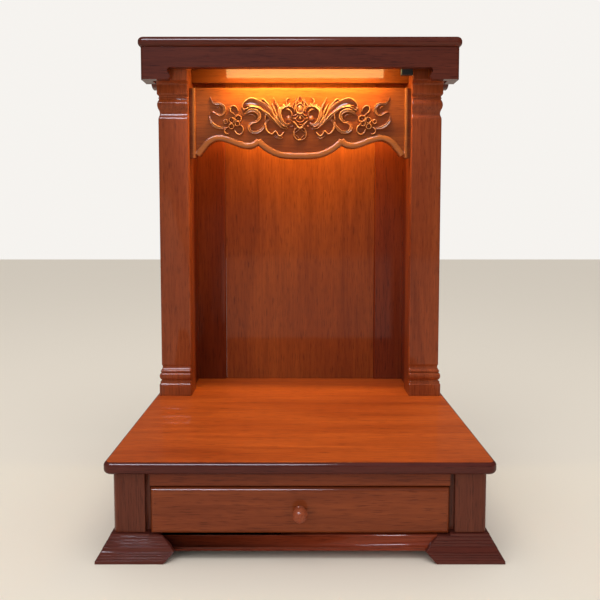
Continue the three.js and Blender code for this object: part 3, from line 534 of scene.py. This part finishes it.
# The columns. Each is one square post with base and capital mouldings run on its front and outer
# faces, and eased arrises on the plain shaft; it stands on the board and is glued to the side.
def swell(z0, z1, e0, e1, bulge=0.0, steps=5):
    """Levels between two heights, bowed outwards by the bulge, or inwards if it is negative."""
    parts = [i / steps for i in range(steps + 1)]
    return [(z0 + (z1 - z0) * t, e0 + (e1 - e0) * t + bulge * math.sin(math.pi * t)) for t in parts]


column_low, column_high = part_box("column_right")
column_levels = [
    *swell(column_low.z * 1000, 163.5, 4, 4, 0, 1), *swell(164.2, 166, 3.6, 2.5, -0.1, 2), (169.2, 2.4), (169.7, 0.4),
    (172.3, 0.4), *swell(172.8, 176.2, 0.9, 3.1, 0.3, 4), *swell(177.5, 182.2, 3.5, 3.4, 0.25, 4),
    *swell(183.4, 186.2, 3, 0.5, 0.3, 4), (187, 0.9), *swell(187.3, 190.4, 1.5, 1.5, 0.4, 3), (191, 1.2),
    *swell(191.6, 201.8, 0.5, 0, -1.6, 7), (202.6, 0), (664, 0), *swell(667, 683.2, -0.4, 0, -2.4, 9),
    *swell(683.8, 699.4, 0.4, -0.8, 1.9, 9), (700.4, -1.3), (702, -1.4), (702.4, -0.2), (703.6, -0.2),
    (704, -1.4), (707, -1.2), *swell(707.6, 712.6, -0.2, 1.9, 1, 5), (713.4, 2), (726.2, 2),
]
cap_levels = [(727.2, 2.3, 2.1), (728.6, 3.4, 2.4), (730, 5.2, 2.6), (731.6, 8, 2.8), (732.8, 10.2, 2.9),
              (733.8, 11.5, 3), (734.6, 12, 3), (column_high.z * 1000, 12, 3)]
column_wood = varnished_wood("column_wood", "Z", (0.24, 0.046, 0.01), (0.4, 0.1, 0.6), 0.06)
column = flat_plan("column_right", 0.203, 0.264, 0.1105, 0.1715, column_low.z)
column.name = "niche_column_right"
pick(column, "VERT", lambda v: v.co.x < 0.21 and v.co.y > 0.0)
bpy.ops.transform.translate(value=(0.004, 0, 0))
pick(column, "VERT", lambda v: v.co.x > 0.25)
bpy.ops.transform.translate(value=(0.004, 0, 0))
for corner_x, radius in ((0.207, 0.003), (0.268, 0.0028)):
    pick(column, "VERT", lambda v: abs(v.co.x - corner_x) < 1e-4 and v.co.y < 0.12)
    bpy.ops.mesh.bevel(offset=radius, segments=4, profile=0.5, affect="VERTICES")
bpy.ops.object.mode_set(mode="OBJECT")
draw_up(column, [(z, e, e) for z, e in column_levels] + cap_levels,
        lambda co: co.y < 0.135, lambda co: co.x > 0.24)
soften(column, 0.0003, 1, 34)
fit(other_side(column, "niche_column_left"), column_wood, "cabinet", "red_wood", "column_left")
fit(column, column_wood, "cabinet", "red_wood", "column_right")


# The niche's walls. Thin panels join the columns to two upright stiles at the back, whose inner
# edges are chamfered, and one wide panel fills the space between the stiles.
# The side panels and stiles are painted darker than the back panel. This is painted shade on the niche's sides, which
# the lamp reaches less.
side_wood = varnished_wood("side_wood", "Z", (0.14, 0.019, 0.003), (0.8, 0.3, 0.1), 0.07)
stile_wood_painted_shade = varnished_wood("stile_wood_painted_shade", "Z", (0.17, 0.025, 0.004), (0.2, 0.8, 0.1), 0.07)
back_wood = varnished_wood("back_wood", "Z", (0.235, 0.046, 0.006), (0.55, 0.45, 0.35), 0.07)
side_wall = block("niche_side_right", *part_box("side_panel_right"))
soften(side_wall, 0.0005)
fit(other_side(side_wall, "niche_side_left"), side_wood, "cabinet", "panel_wood", "side_panel_left")
fit(side_wall, side_wood, "cabinet", "panel_wood", "side_panel_right")
stile_low, stile_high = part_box("back_stile_right")
stile = block("back_upright_right", stile_low, stile_high)
pick(stile, "EDGE", upright_at(stile_low.x, stile_low.y))
bpy.ops.mesh.bevel(offset=0.0025, segments=1, affect="EDGES")
bpy.ops.object.mode_set(mode="OBJECT")
soften(stile, 0.0004)
fit(other_side(stile, "back_upright_left"), stile_wood_painted_shade, "cabinet", "panel_wood", "back_stile_left")
fit(stile, stile_wood_painted_shade, "cabinet", "panel_wood", "back_stile_right")
back_wall = block("niche_back", *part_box("back_panel"))
soften(back_wall, 0.0005)
fit(back_wall, back_wood, "cabinet", "panel_wood", "back_panel")
header_wood = varnished_wood("header_wood", "X", (0.14, 0.028, 0.003), (0.15, 0.65, 0.5), 0.06)
header = block("header_board", *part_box("header_rail"))
soften(header, 0.0012, 3)
fit(header, header_wood, "cabinet", "panel_wood", "header_rail")


# The frieze. A thin board between the columns with a scalloped lower edge, finished with a
# rounded bead along the scallops and a narrow one up each end.
def drawn_outline(name, points, y0, y1):
    """A board of any outline, drawn from the front, between a front and a rear plane."""
    outline = bpy.data.curves.new(name, "CURVE")
    outline.dimensions = "2D"
    outline.fill_mode = "BOTH"
    outline.extrude = (y1 - y0) / 2
    line = outline.splines.new("POLY")
    line.points.add(len(points) - 1)
    for point, (x, z) in zip(line.points, points):
        point.co = (x, z, 0, 1)
    line.use_cyclic_u = True
    piece = bpy.data.objects.new(name, outline)
    bpy.context.scene.collection.objects.link(piece)
    piece.rotation_euler = (math.pi / 2, 0, 0)
    piece.location = (0, (y0 + y1) / 2, 0)
    choose(piece)
    bpy.ops.object.convert(target="MESH")
    bpy.ops.object.transform_apply(location=True, rotation=True, scale=True)
    bpy.ops.object.mode_set(mode="EDIT")
    bpy.ops.mesh.select_all(action="SELECT")
    bpy.ops.mesh.remove_doubles(threshold=1e-6)
    bpy.ops.mesh.normals_make_consistent(inside=False)
    bpy.ops.object.mode_set(mode="OBJECT")
    return piece


def through(points, steps=8):
    """A smooth line through some points, each span cut into steps."""
    line = []
    for i in range(len(points) - 1):
        p0, p1, p2, p3 = [points[min(max(k, 0), len(points) - 1)] for k in range(i - 1, i + 3)]
        for s in range(steps):
            t = s / steps
            line.append(tuple(
                0.5 * (2 * b + (c - a) * t + (2 * a - 5 * b + 4 * c - d) * t * t
                       + (3 * b - a - 3 * c + d) * t ** 3)
                for a, b, c, d in zip(p0, p1, p2, p3)))
    return line + [tuple(points[-1])]


frieze_low, frieze_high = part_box("frieze")
board_face = 0.1245
scallop_side = [(192.5, 598.5), (187, 606), (180, 614.5), (174, 621), (168, 625.5), (161, 629), (154, 630.5),
                (147, 630.3), (140, 628.8), (130, 625.5), (120, 621.8), (111, 618.4), (103, 616.2),
                (95, 616), (88, 617.5), (82, 621), (77.8, 626.5)]
scallop_middle = [(77.8, 626.5), (75, 621.5), (70, 616.8), (62, 610.8), (52, 605), (42, 600.8), (32, 598.4),
                  (16, 597.2), (0, 597)]
side_line = through([(x / 1000, z / 1000) for x, z in scallop_side])
middle_line = through([(x / 1000, z / 1000) for x, z in scallop_middle])
half = [(0.2066, 0.723), (0.2066, 0.5925), (0.1955, 0.5925)] + side_line + middle_line[1:]
frieze_wood = varnished_wood("frieze_wood", "X", (0.24, 0.052, 0.006), (0.35, 0.75, 0.15), 0.1)
# The raised edges of the carving are painted paler and golden. This is a painted highlight of the lamp's light on the
# relief's rims.
frieze_nodes, frieze_link = frieze_wood.node_tree.nodes, frieze_wood.node_tree.links
frieze_shader = frieze_nodes["Principled BSDF"]
frieze_shader.inputs["Coat Weight"].default_value = 1.0
frieze_place, depth = frieze_nodes.new("ShaderNodeTexCoord"), frieze_nodes.new("ShaderNodeSeparateXYZ")
rim_highlight_mask, painted_rim_highlight = frieze_nodes.new("ShaderNodeMapRange"), frieze_nodes.new("ShaderNodeMix")
rim_highlight_mask.inputs["From Min"].default_value = board_face - 0.0025
rim_highlight_mask.inputs["From Max"].default_value = board_face - 0.0075
rim_highlight_mask.inputs["To Max"].default_value = 0.62
painted_rim_highlight.data_type = "RGBA"
# Pale gold of the painted highlight on the carving's rims
painted_rim_highlight.inputs["B"].default_value = (0.72, 0.3, 0.085, 1)
frieze_link.new(frieze_place.outputs["Object"], depth.inputs["Vector"])
frieze_link.new(depth.outputs["Y"], rim_highlight_mask.inputs["Value"])
frieze_link.new(rim_highlight_mask.outputs["Result"], painted_rim_highlight.inputs["Factor"])
frieze_link.new(frieze_shader.inputs["Base Color"].links[0].from_socket, painted_rim_highlight.inputs["A"])
frieze_link.new(painted_rim_highlight.outputs["Result"], frieze_shader.inputs["Base Color"])
frieze_board = drawn_outline("frieze_board", half + [(-x, z) for x, z in half[-2::-1]], board_face, 0.1385)
soften(frieze_board, 0.0003, 1)


def carved_line(name, points, widths, rise, section, y=board_face, smooth=True):
    """A carved band on the frieze's face. It follows the points, its width runs through the
    widths, and the section is its cross-shape in parts of the width and of the rise."""
    profile = bpy.data.curves.new("profile", "CURVE")
    profile.dimensions = "2D"
    edge = profile.splines.new("POLY")
    widest = max(widths)
    edge.points.add(len(section) - 1)
    for point, (across, up) in zip(edge.points, section):
        point.co = (across * widest / 1000, up * rise / 1000, 0, 1)
    edge.use_cyclic_u = True
    outline = bpy.data.objects.new("profile", profile)
    bpy.context.scene.collection.objects.link(outline)
    path = bpy.data.curves.new(name, "CURVE")
    path.dimensions = "2D"
    path.bevel_mode = "OBJECT"
    path.bevel_object = outline
    path.use_fill_caps = True
    line = path.splines.new("POLY")
    dense = through(points, 6) if smooth else list(points)
    line.points.add(len(dense) - 1)
    for i, (point, (x, z)) in enumerate(zip(line.points, dense)):
        point.co = (x / 1000, z / 1000, 0, 1)
        place = i / (len(dense) - 1) * (len(widths) - 1)
        k = min(int(place), len(widths) - 2)
        point.radius = (widths[k] + (widths[k + 1] - widths[k]) * (place - k)) / widest
    piece = bpy.data.objects.new(name, path)
    bpy.context.scene.collection.objects.link(piece)
    piece.rotation_euler = (math.pi / 2, 0, 0)
    piece.location = (0, y, 0)
    choose(piece)
    bpy.ops.object.convert(target="MESH")
    bpy.ops.object.transform_apply(location=True, rotation=True, scale=True)
    bpy.data.objects.remove(outline)
    return piece


def domed(steps=8, sunk=1.2):
    """A half-round section that goes on down into the board."""
    arc = [(0.5 * math.cos(math.pi * i / steps), math.sin(math.pi * i / steps)) for i in range(steps + 1)]
    return arc + [(-0.5, -sunk), (0.5, -sunk)]


def joined(name, parts):
    """Several overlapping parts as one object."""
    bpy.ops.object.select_all(action="DESELECT")
    for part in parts:
        part.select_set(True)
    bpy.context.view_layer.objects.active = parts[0]
    if len(parts) > 1:
        bpy.ops.object.join()
    parts[0].name = name
    return parts[0]


def blended(piece, grain, passes):
    """Melt overlapping parts into one skin and rub it smooth."""
    choose(piece)
    melt = piece.modifiers.new("melt", "REMESH")
    melt.mode = "VOXEL"
    melt.voxel_size = grain
    bpy.ops.object.modifier_apply(modifier="melt")
    rub = piece.modifiers.new("rub", "SMOOTH")
    rub.factor = 0.5
    rub.iterations = passes
    bpy.ops.object.modifier_apply(modifier="rub")
    bpy.ops.object.shade_smooth_by_angle(angle=math.radians(60))


bead_section = [(0.5, 0), (0.49, 0.35), (0.42, 0.72), (0.3, 0.93), (0.15, 1), (0, 1), (-0.15, 1),
                (-0.3, 0.93), (-0.42, 0.72), (-0.49, 0.35), (-0.5, 0), (-0.5, -3.4), (0.5, -3.4)]
beads = []
for sign in (1, -1):
    for line in (side_line, middle_line):
        beads.append(carved_line("bead", [(sign * x * 1000, z * 1000) for x, z in line], (12, 12), 4,
                                 bead_section, smooth=False))
    beads.append(carved_line("bead", [(sign * 198.8, 592.6), (sign * 198.8, 722.8)], (7, 7), 4,
                             bead_section, smooth=False))
bead = joined("frieze_bead", beads)
blended(bead, 0.0008, 3)
fit(frieze_board, frieze_wood, "cabinet", "panel_wood", "frieze")
fit(bead, frieze_wood, "cabinet", "panel_wood", "frieze")


# The carving. Feathered scrolls, ribbons and plum blossom are cut in low relief on either side of
# a small crowned boss over a pierced coin, rubbed smooth and varnished with the board.
ribbed = [(0.5, 0), (0.47, 0.5), (0.38, 0.92), (0.27, 1), (0.14, 0.78), (0, 0.66), (-0.14, 0.7),
          (-0.27, 0.84), (-0.38, 0.8), (-0.47, 0.45), (-0.5, 0), (-0.5, -0.5), (0.5, -0.5)]
scooped = [(0.5, 0), (0.49, 0.62), (0.45, 0.95), (0.4, 1), (0.34, 0.86), (0.2, 0.5), (0, 0.34), (-0.2, 0.5),
           (-0.34, 0.86), (-0.4, 1), (-0.45, 0.95), (-0.49, 0.62), (-0.5, 0), (-0.5, -0.4), (0.5, -0.4)]
round_back = domed(8, 0.4)
mid_level = 663.7


def about(points):
    """Points drawn about the middle of the carving, at their true heights."""
    return [(x, mid_level + z) for x, z in points]


def loop(x, z, half_wide, half_high, width, rise, turn=0.0):
    """A closed ring of carving, or a petal if it is longer one way, turned by some degrees."""
    line = []
    for i in range(17):
        a = math.tau * i / 16
        u, v = half_wide * math.cos(a), half_high * math.sin(a)
        c, s = math.cos(math.radians(turn)), math.sin(math.radians(turn))
        line.append((x + u * c - v * s, mid_level + z + u * s + v * c))
    return carved_line("ring", line, (width, width), rise, round_back)


def low_dome(x, z, half_wide, half_high, rise):
    """A smooth low mound on the face."""
    bpy.ops.object.select_all(action="DESELECT")
    bpy.ops.mesh.primitive_uv_sphere_add(
        segments=32, ring_count=16, radius=1, location=(x / 1000, board_face, (mid_level + z) / 1000))
    mound = bpy.context.object
    mound.scale = (half_wide / 1000, rise / 1000, half_high / 1000)
    bpy.ops.object.transform_apply(location=True, rotation=True, scale=True)
    return mound


half_lines = [
    # the great wing leaf, hollowed between two rims, and the three feathers that lie over it
    ([(106, 17), (104.5, 26), (98, 31), (88, 31.5), (75, 27.5), (63.5, 18.5), (53.5, 7.5), (43, -4), (31, -13),
      (21.5, -15)], (3, 9, 13, 16, 16, 14.5, 12.5, 9.5, 6.5, 3), 4.6, scooped),
    ([(105, 18), (107.6, 25), (104, 32.4), (97, 38), (89, 39.6), (80, 37), (69.3, 32), (60, 25), (52.5, 16.7),
      (45.9, 5.6), (38.4, -4.6), (30, -12), (22.5, -13.9)],
     (2.2, 2.6, 2.8, 3, 3, 2.8, 2.6, 2.6, 2.6, 2.6, 2.6, 2.4, 1.8), 6, round_back),
    ([(106, 16), (101, 20), (94, 23), (86.5, 23.8), (76, 21.3), (65.6, 15.2), (56.2, 8.4), (48.7, 0.6),
      (41.2, -8.6), (33, -15.4), (24, -17.6)], (1.8, 2.4, 2.6, 2.6, 2.6, 2.6, 2.6, 2.6, 2.4, 2.2, 1.6),
     5.4, round_back),
    ([(74, 36), (72, 37.4), (68, 37.6), (63.7, 33.2), (58.1, 27.2), (53, 20.2), (50.6, 13), (47, 3.7),
      (42, -4.5), (36, -10.4), (31, -13)], (1.6, 2.4, 3.6, 3.6, 3.4, 3.2, 3.2, 3, 2.8, 2.2, 1.4), 6, round_back),
    ([(53.4, 31.4), (52.5, 29.6), (47.6, 20.2), (44, 10.7), (41.8, 2.4), (38, -4.6), (32.8, -11.1)],
     (1, 2, 3.2, 3.2, 3, 2.6, 1.4), 5.6, round_back),
    ([(49.6, 42), (48.9, 40.1), (45.9, 33.1), (41.8, 25.9), (38.6, 18), (36.6, 8), (34, -1), (29, -8)],
     (0.9, 2, 3, 4, 4.4, 4, 3.2, 2), 6.2, ribbed),
    # the shoulder scroll beside the crowned boss, with its curled tip and small hooked leaf
    ([(8.4, 13), (10.3, 20.4), (16.9, 25.2), (24.4, 26), (31.9, 23.1), (37, 18.6), (38.2, 12), (36.4, 4),
      (33, -3), (29, -7.6), (24.4, -9.3), (20.4, -7.8), (18.4, -4.4)],
     (2.4, 3.6, 4.4, 5, 6, 7, 7, 6.4, 6, 5.6, 4.8, 3.6, 2), 6.4, ribbed),
    ([(28, 17), (25, 19.4), (20, 18.4), (16, 14), (15.4, 8), (18.4, 3)], (2, 3.4, 3.8, 3.4, 2.8, 1.6), 4.6,
     round_back),
    ([(19.6, 39.6), (20.9, 40.2), (23.4, 39.6), (25.9, 36.3), (26, 32.5), (24.8, 29), (22.7, 24.6)],
     (0.9, 1.6, 2.4, 2.8, 2.8, 2.6, 2), 5, round_back),
    ([(22, 24), (20.6, 27.8), (19.4, 30.4), (17.6, 31.2)], (2.6, 3, 2.4, 1.2), 4.8, round_back),
    ([(15.6, 23.6), (14.6, 26.4), (13.4, 28.4), (11.6, 28.6)], (2.4, 2.8, 2.2, 1.1), 4.6, round_back),
    ([(29.6, 24), (31, 27.4), (33.6, 29.2)], (2.6, 2.6, 1.2), 4.6, round_back),
    # the long ribbon that doubles back under the wing
    ([(108.4, 6.4), (103, 10.6), (96.1, 15.3), (89.4, 17.4), (81.3, 15.4), (76.1, 9.8), (76.1, 2.6), (81.3, -3),
      (88.4, -5.4), (94, -9), (95.8, -15.4), (92, -21.4), (84.1, -23.6), (75.4, -20.8), (68.4, -14),
      (63.9, -6.1), (58.7, 0), (51.6, 2.6), (47.6, 1.4)],
     (1.6, 4.6, 7, 8, 8, 7.6, 7, 5.6, 4.8, 5.4, 6, 6.2, 6.4, 6.2, 5.6, 5, 4.2, 3, 1.4), 5.6, ribbed),
    ([(100, 6.8), (94.6, 9.6), (88.6, 9.4), (84, 6), (83.4, 1.4)], (1.2, 3, 3.8, 3.6, 1.8), 3.2, round_back),
    ([(66, -2), (65.2, 3.7), (64, 8.8), (60.4, 11.2), (56.6, 10.9), (55.4, 8.8)], (2, 2.8, 2.8, 2.6, 2.2, 1),
     4.6, round_back),
    # the branch and the little cloud scroll at its end
    ([(64.6, -4), (64.2, -11), (62.6, -18.6), (57.8, -24.4), (50.6, -27)], (2.4, 3.6, 4, 4, 3), 5, round_back),
    ([(51.6, -26.4), (49.3, -23), (45.6, -21.4), (43, -24), (41.6, -27.6), (38.4, -29.6), (35.2, -29),
      (32.6, -25.6), (30.4, -22.6), (27.8, -22.4)], (3, 3.4, 3.4, 3, 3.6, 4, 3.8, 3.2, 2.6, 1.2), 5.6, round_back),
    ([(49, -29.6), (45, -31), (40.4, -34), (36, -34.4), (31.6, -31)], (1.6, 3.4, 4.4, 4, 1.6), 3.6, round_back),
    # the outer ribbon and the long tail under it
    ([(167.4, 42.6), (166, 37), (162.6, 31.6), (157, 29.6), (150, 29.8), (143.6, 26.2), (140.4, 19.6),
      (142, 12.6), (147, 8.6), (153.4, 9.6), (158.6, 12.8), (164, 14.8), (167, 12.4)],
     (1.2, 2.6, 3.8, 4.4, 5, 5.4, 5.6, 5.2, 4.6, 4, 3.6, 3, 1.4), 4.8, ribbed),
    ([(157.4, 24.4), (152.6, 24.2), (149, 20.8), (149.6, 16.8)], (1.4, 2.6, 2.6, 1.2), 3, round_back),
    ([(169, 8), (168.2, 1), (165, -5.4), (160, -10.6), (154, -14), (145, -15.6), (137.6, -13)],
     (1.6, 4, 6, 7, 6.6, 5, 2.6), 5.4, ribbed),
    # open loops of petal around the blossom
    ([(120, 8), (124.4, 11.4), (129.6, 16), (130, 22), (126, 25.6), (120.4, 24.6), (116.8, 19.6), (115.8, 13.6)],
     (2, 2.8, 3.2, 3.2, 3.2, 3, 2.8, 2), 5, round_back),
    ([(122.6, -17), (120.6, -22.4), (116.6, -26.6), (111.4, -26.4), (107.2, -21.6), (106.6, -15), (110, -10.6),
      (114.4, -9.4)], (2, 3, 3.2, 3.2, 3.2, 3, 2.6, 2), 5, round_back),
    ([(133.4, -13), (138.6, -15.6), (141.4, -20), (139.6, -24.6), (134.6, -26.2), (131.4, -23.4)],
     (2, 2.8, 2.8, 2.8, 2.4, 1.2), 4.4, round_back),
]


def half_carving():
    """The right half of the carving, its parts joined as one object, to be melted into one smooth skin and kept only
    where it stands off the board.
    """
    parts = [carved_line("line", about(points), widths, rise * 1.25, section)
             for points, widths, rise, section in half_lines]
    for x, z, radius in ((115.8, 2.4, 6), (127.8, -0.6, 4.8), (139.2, -3.5, 3.6), (128.6, -12.2, 4.6),
                         (117.6, -7, 4.3)):
        parts.append(loop(x, z, radius, radius, 2.6, 5.2))
        parts.append(low_dome(x, z, radius * 0.42, radius * 0.42, 3.4))
    parts.append(low_dome(20.8, 2.4, 6, 6.4, 3.4))
    return joined("carving_right", parts)


def trim_back(piece):
    """Drop what is buried in the board behind the carving."""
    saw_off(piece, (0, board_face + 0.0008, 0), (0, 1, 0))


carving = half_carving()
blended(carving, 0.00065, 3)
trim_back(carving)
fit(other_side(carving, "carving_left"), frieze_wood, "cabinet", "panel_wood", "frieze")
fit(carving, frieze_wood, "cabinet", "panel_wood", "frieze")

middle_lines = [
    ([(11, 12.6), (10.5, 16), (9.8, 21), (9.2, 25.9), (7.4, 32.4), (3.6, 38.9), (0, 45)],
     (2, 3, 3.2, 3.2, 3, 2.6, 1.6), 4.2, round_back),
    ([(12.2, 24), (12.6, 28.6), (10.4, 32.2), (8.2, 33.8)], (1.6, 2.4, 2.4, 1.4), 3.6, round_back),
    ([(9.2, 33.6), (8.4, 37.6), (5, 40.8)], (1.4, 2, 1.2), 3.4, round_back),
    ([(0, 31.4), (3.4, 33), (4.4, 36.6), (2.4, 40)], (1.6, 2.2, 2.2, 1.2), 3.6, round_back),
    ([(0, 12.6), (4.6, 11.8), (8.2, 9), (11, 7.6), (14.4, 9), (15.6, 12)], (2, 2.6, 2.6, 2.4, 2, 1), 5,
     round_back),
    ([(0, 8.6), (4, 7.6), (6.6, 4.2), (10, 2.2), (13.8, 3.4), (16, 6)], (1.8, 2.4, 2.4, 2.4, 2, 1), 5, round_back),
    ([(0, -4.4), (4, -3.6), (7.4, -0.6), (9.6, 0.4)], (1.8, 2.4, 2.2, 1.2), 4.6, round_back),
    ([(15.6, -1.2), (12.4, -3.4), (9.2, -6.7), (6.4, -10.2), (3.7, -13.7), (0, -17)],
     (1.8, 3, 3.4, 3.4, 3.4, 3.4), 5.8, round_back),
    ([(0, -9.6), (2.4, -8), (4.4, -9.6)], (2, 2.4, 1.2), 4.6, round_back),
    ([(17.6, -10), (15.4, -12.6), (13.6, -11.2), (12.2, -13.6)], (1.4, 2.2, 2.2, 1.2), 3.8, round_back),
    ([(12.4, -25.6), (7.6, -28.4), (3.2, -32.6), (0, -38)], (2, 2.2, 2.2, 2), 4.2, round_back),
    ([(12.4, -25.6), (7.6, -22.8), (3.2, -18.6), (0, -13.2)], (2, 2.2, 2.2, 2), 4.2, round_back),
]
parts = []
for points, widths, rise, section in middle_lines:
    for side in (1, -1):
        parts.append(carved_line("line", about([(side * x, z) for x, z in points]), widths, rise, section))
parts.append(loop(0, -25.6, 12, 12, 2.6, 5))
parts.append(loop(0, 20.4, 7.4, 9.6, 2.6, 5.4))
parts.append(low_dome(0, 20, 6.6, 8.8, 5.2))
parts.append(low_dome(0, 3.4, 2.8, 4, 5.6))
crest = joined("carving_middle", parts)
blended(crest, 0.00055, 2)
trim_back(crest)
fit(crest, frieze_wood, "cabinet", "panel_wood", "frieze")


# The cornice. A deep fascia with dropped brackets at its ends and sides hangs under a round-nosed
# top board; both are dark hardwood under the glossiest varnish on the piece.
def ogee(at, towards, high=750.0, low=729.0, steps=14):
    """The S-shaped end of a bracket, from its high edge down to its low one."""
    line = []
    for i in range(steps + 1):
        t = i / steps
        tuck = 2.2 * (t - 0.85) / 0.15 if t > 0.85 else 0
        line.append((at + towards * (2.6 * math.sin(math.tau * (t - 0.5)) - tuck), high - (high - low) * t))
    return line


cornice_wood = varnished_wood("cornice_wood", "X", (0.1, 0.018, 0.008), (0.9, 0.2, 0.6), 0.05)
cornice_side_wood = varnished_wood("cornice_side_wood", "Y", (0.1, 0.018, 0.008), (0.4, 0.6, 0.1), 0.05)
fascia_low, fascia_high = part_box("fascia_front")
top = fascia_high.z * 1000
half = [(0, 750), *ogee(236, -1), (286, 729), (286, top)]
outline = [(x / 1000, z / 1000) for x, z in half + [(-x, z) for x, z in half[:0:-1]]]
fascia = drawn_outline("fascia_front_board", outline, fascia_low.y, fascia_high.y)
for x in (0.286, -0.286):
    round_over(fascia, upright_at(x, fascia_low.y), 0.006, 6)
soften(fascia, 0.0012, 3)
fit(fascia, cornice_wood, "cabinet", "dark_wood", "fascia_front")

side_low, side_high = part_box("fascia_right")
cheek = [(163, 750)] + [
    (166 + 20 * (1 - math.cos(a)), 730 + 11 * (1 - math.sin(a)))
    for a in [math.pi / 2 * i / 8 for i in range(9)]
]
side_outline = [
    (side_low.y * 1000, 729), *ogee(123.5, 1)[::-1], *cheek, *ogee(198, 1, low=730)[::-1],
    (280, 750), (280, top), (side_low.y * 1000, top),
]
side_board = drawn_outline(
    "fascia_side_right", [(y / 1000, z / 1000) for y, z in side_outline], 0, side_high.x - side_low.x)
choose(side_board)
side_board.rotation_euler = (0, 0, math.pi / 2)
side_board.location = (side_high.x, 0, 0)
bpy.ops.object.transform_apply(location=True, rotation=True, scale=True)
soften(side_board, 0.0012, 3)
fit(other_side(side_board, "fascia_side_left"), cornice_side_wood, "cabinet", "dark_wood", "fascia_left")
fit(side_board, cornice_side_wood, "cabinet", "dark_wood", "fascia_right")

top_board = nosed_board("cornice_top_board", *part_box("canopy_board"), 0.011, 0.008)
fit(top_board, cornice_wood, "cabinet", "dark_wood", "canopy_board")


# The lamp. A slim fitting is clipped up behind the fascia: a white channel, a frosted lens under
# it and a black plug at its right-hand end. It throws warm light down the frieze.
white_shell = bpy.data.materials.new("white_shell")
white_shell.use_nodes = True
shell_shader = white_shell.node_tree.nodes["Principled BSDF"]
shell_shader.inputs["Base Color"].default_value = (0.72, 0.7, 0.65, 1)
speck = white_shell.node_tree.nodes.new("ShaderNodeTexNoise")
speck.inputs["Scale"].default_value = 900
speck_bump = white_shell.node_tree.nodes.new("ShaderNodeBump")
speck_bump.inputs["Distance"].default_value = 0.0001
speck_place = white_shell.node_tree.nodes.new("ShaderNodeTexCoord")
white_shell.node_tree.links.new(speck_place.outputs["Object"], speck.inputs["Vector"])
white_shell.node_tree.links.new(speck.outputs["Fac"], speck_bump.inputs["Height"])
white_shell.node_tree.links.new(speck_bump.outputs["Normal"], shell_shader.inputs["Normal"])
black_shell = white_shell.copy()
black_shell.name = "black_shell"
black_shell.node_tree.nodes["Principled BSDF"].inputs["Base Color"].default_value = (0.012, 0.012, 0.013, 1)
frosted = white_shell.copy()
frosted.name = "frosted_lens"
lens_shader = frosted.node_tree.nodes["Principled BSDF"]
lens_shader.inputs["Base Color"].default_value = (0.9, 0.75, 0.5, 1)
lens_shader.inputs["Emission Color"].default_value = (1, 0.82, 0.3, 1)
lens_shader.inputs["Emission Strength"].default_value = 24

channel = block("lamp_channel", *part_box("lamp_body"))
round_over(channel, lambda e: abs(e.verts[0].co.x - e.verts[1].co.x) > 0.1 and e.verts[0].co.z < 0.78, 0.002, 4)
soften(channel, 0.0008)
fit(channel, white_shell, "cabinet", "lamp_body", "lamp_body")
lens_low, lens_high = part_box("lamp_lens")
lens = block("lamp_lens_cover", lens_low, lens_high)
round_over(lens, lambda e: abs(e.verts[0].co.x - e.verts[1].co.x) > 0.1 and e.verts[0].co.z < 0.76, 0.0078, 8)
soften(lens, 0.0005)
fit(lens, frosted, "cabinet", "lamp_lens", "lamp_lens")
plug = block("lamp_end_plug", *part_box("lamp_plug"))
round_over(plug, lambda e: abs(e.verts[0].co.z - e.verts[1].co.z) > 0.01, 0.003, 4)
soften(plug, 0.001, 3)
fit(plug, black_shell, "cabinet", "lamp_plug", "lamp_plug")
lamp_glow = soft_lamp(
    "lamp_glow", (0.01, 0.1, 0.7555), (0.01, 0.116, 0.7), (0.27, 0.01), 1.5, (1, 0.71, 0.33), False)
niche_glow = soft_lamp(
    "niche_glow", (0.01, 0.147, 0.721), (0.01, 0.23, 0.62), (0.26, 0.01), 1.15, (1, 0.7, 0.3), False)
# The room's own light drowns the lamp on the floor, so the floor is left out of its glow.
unlit = bpy.data.collections.new("unlit_by_the_lamp")
unlit.objects.link(floor)
for member in unlit.collection_objects:
    member.light_linking.link_state = "EXCLUDE"
for glow in (lamp_glow, niche_glow):
    glow.light_linking.receiver_collection = unlit
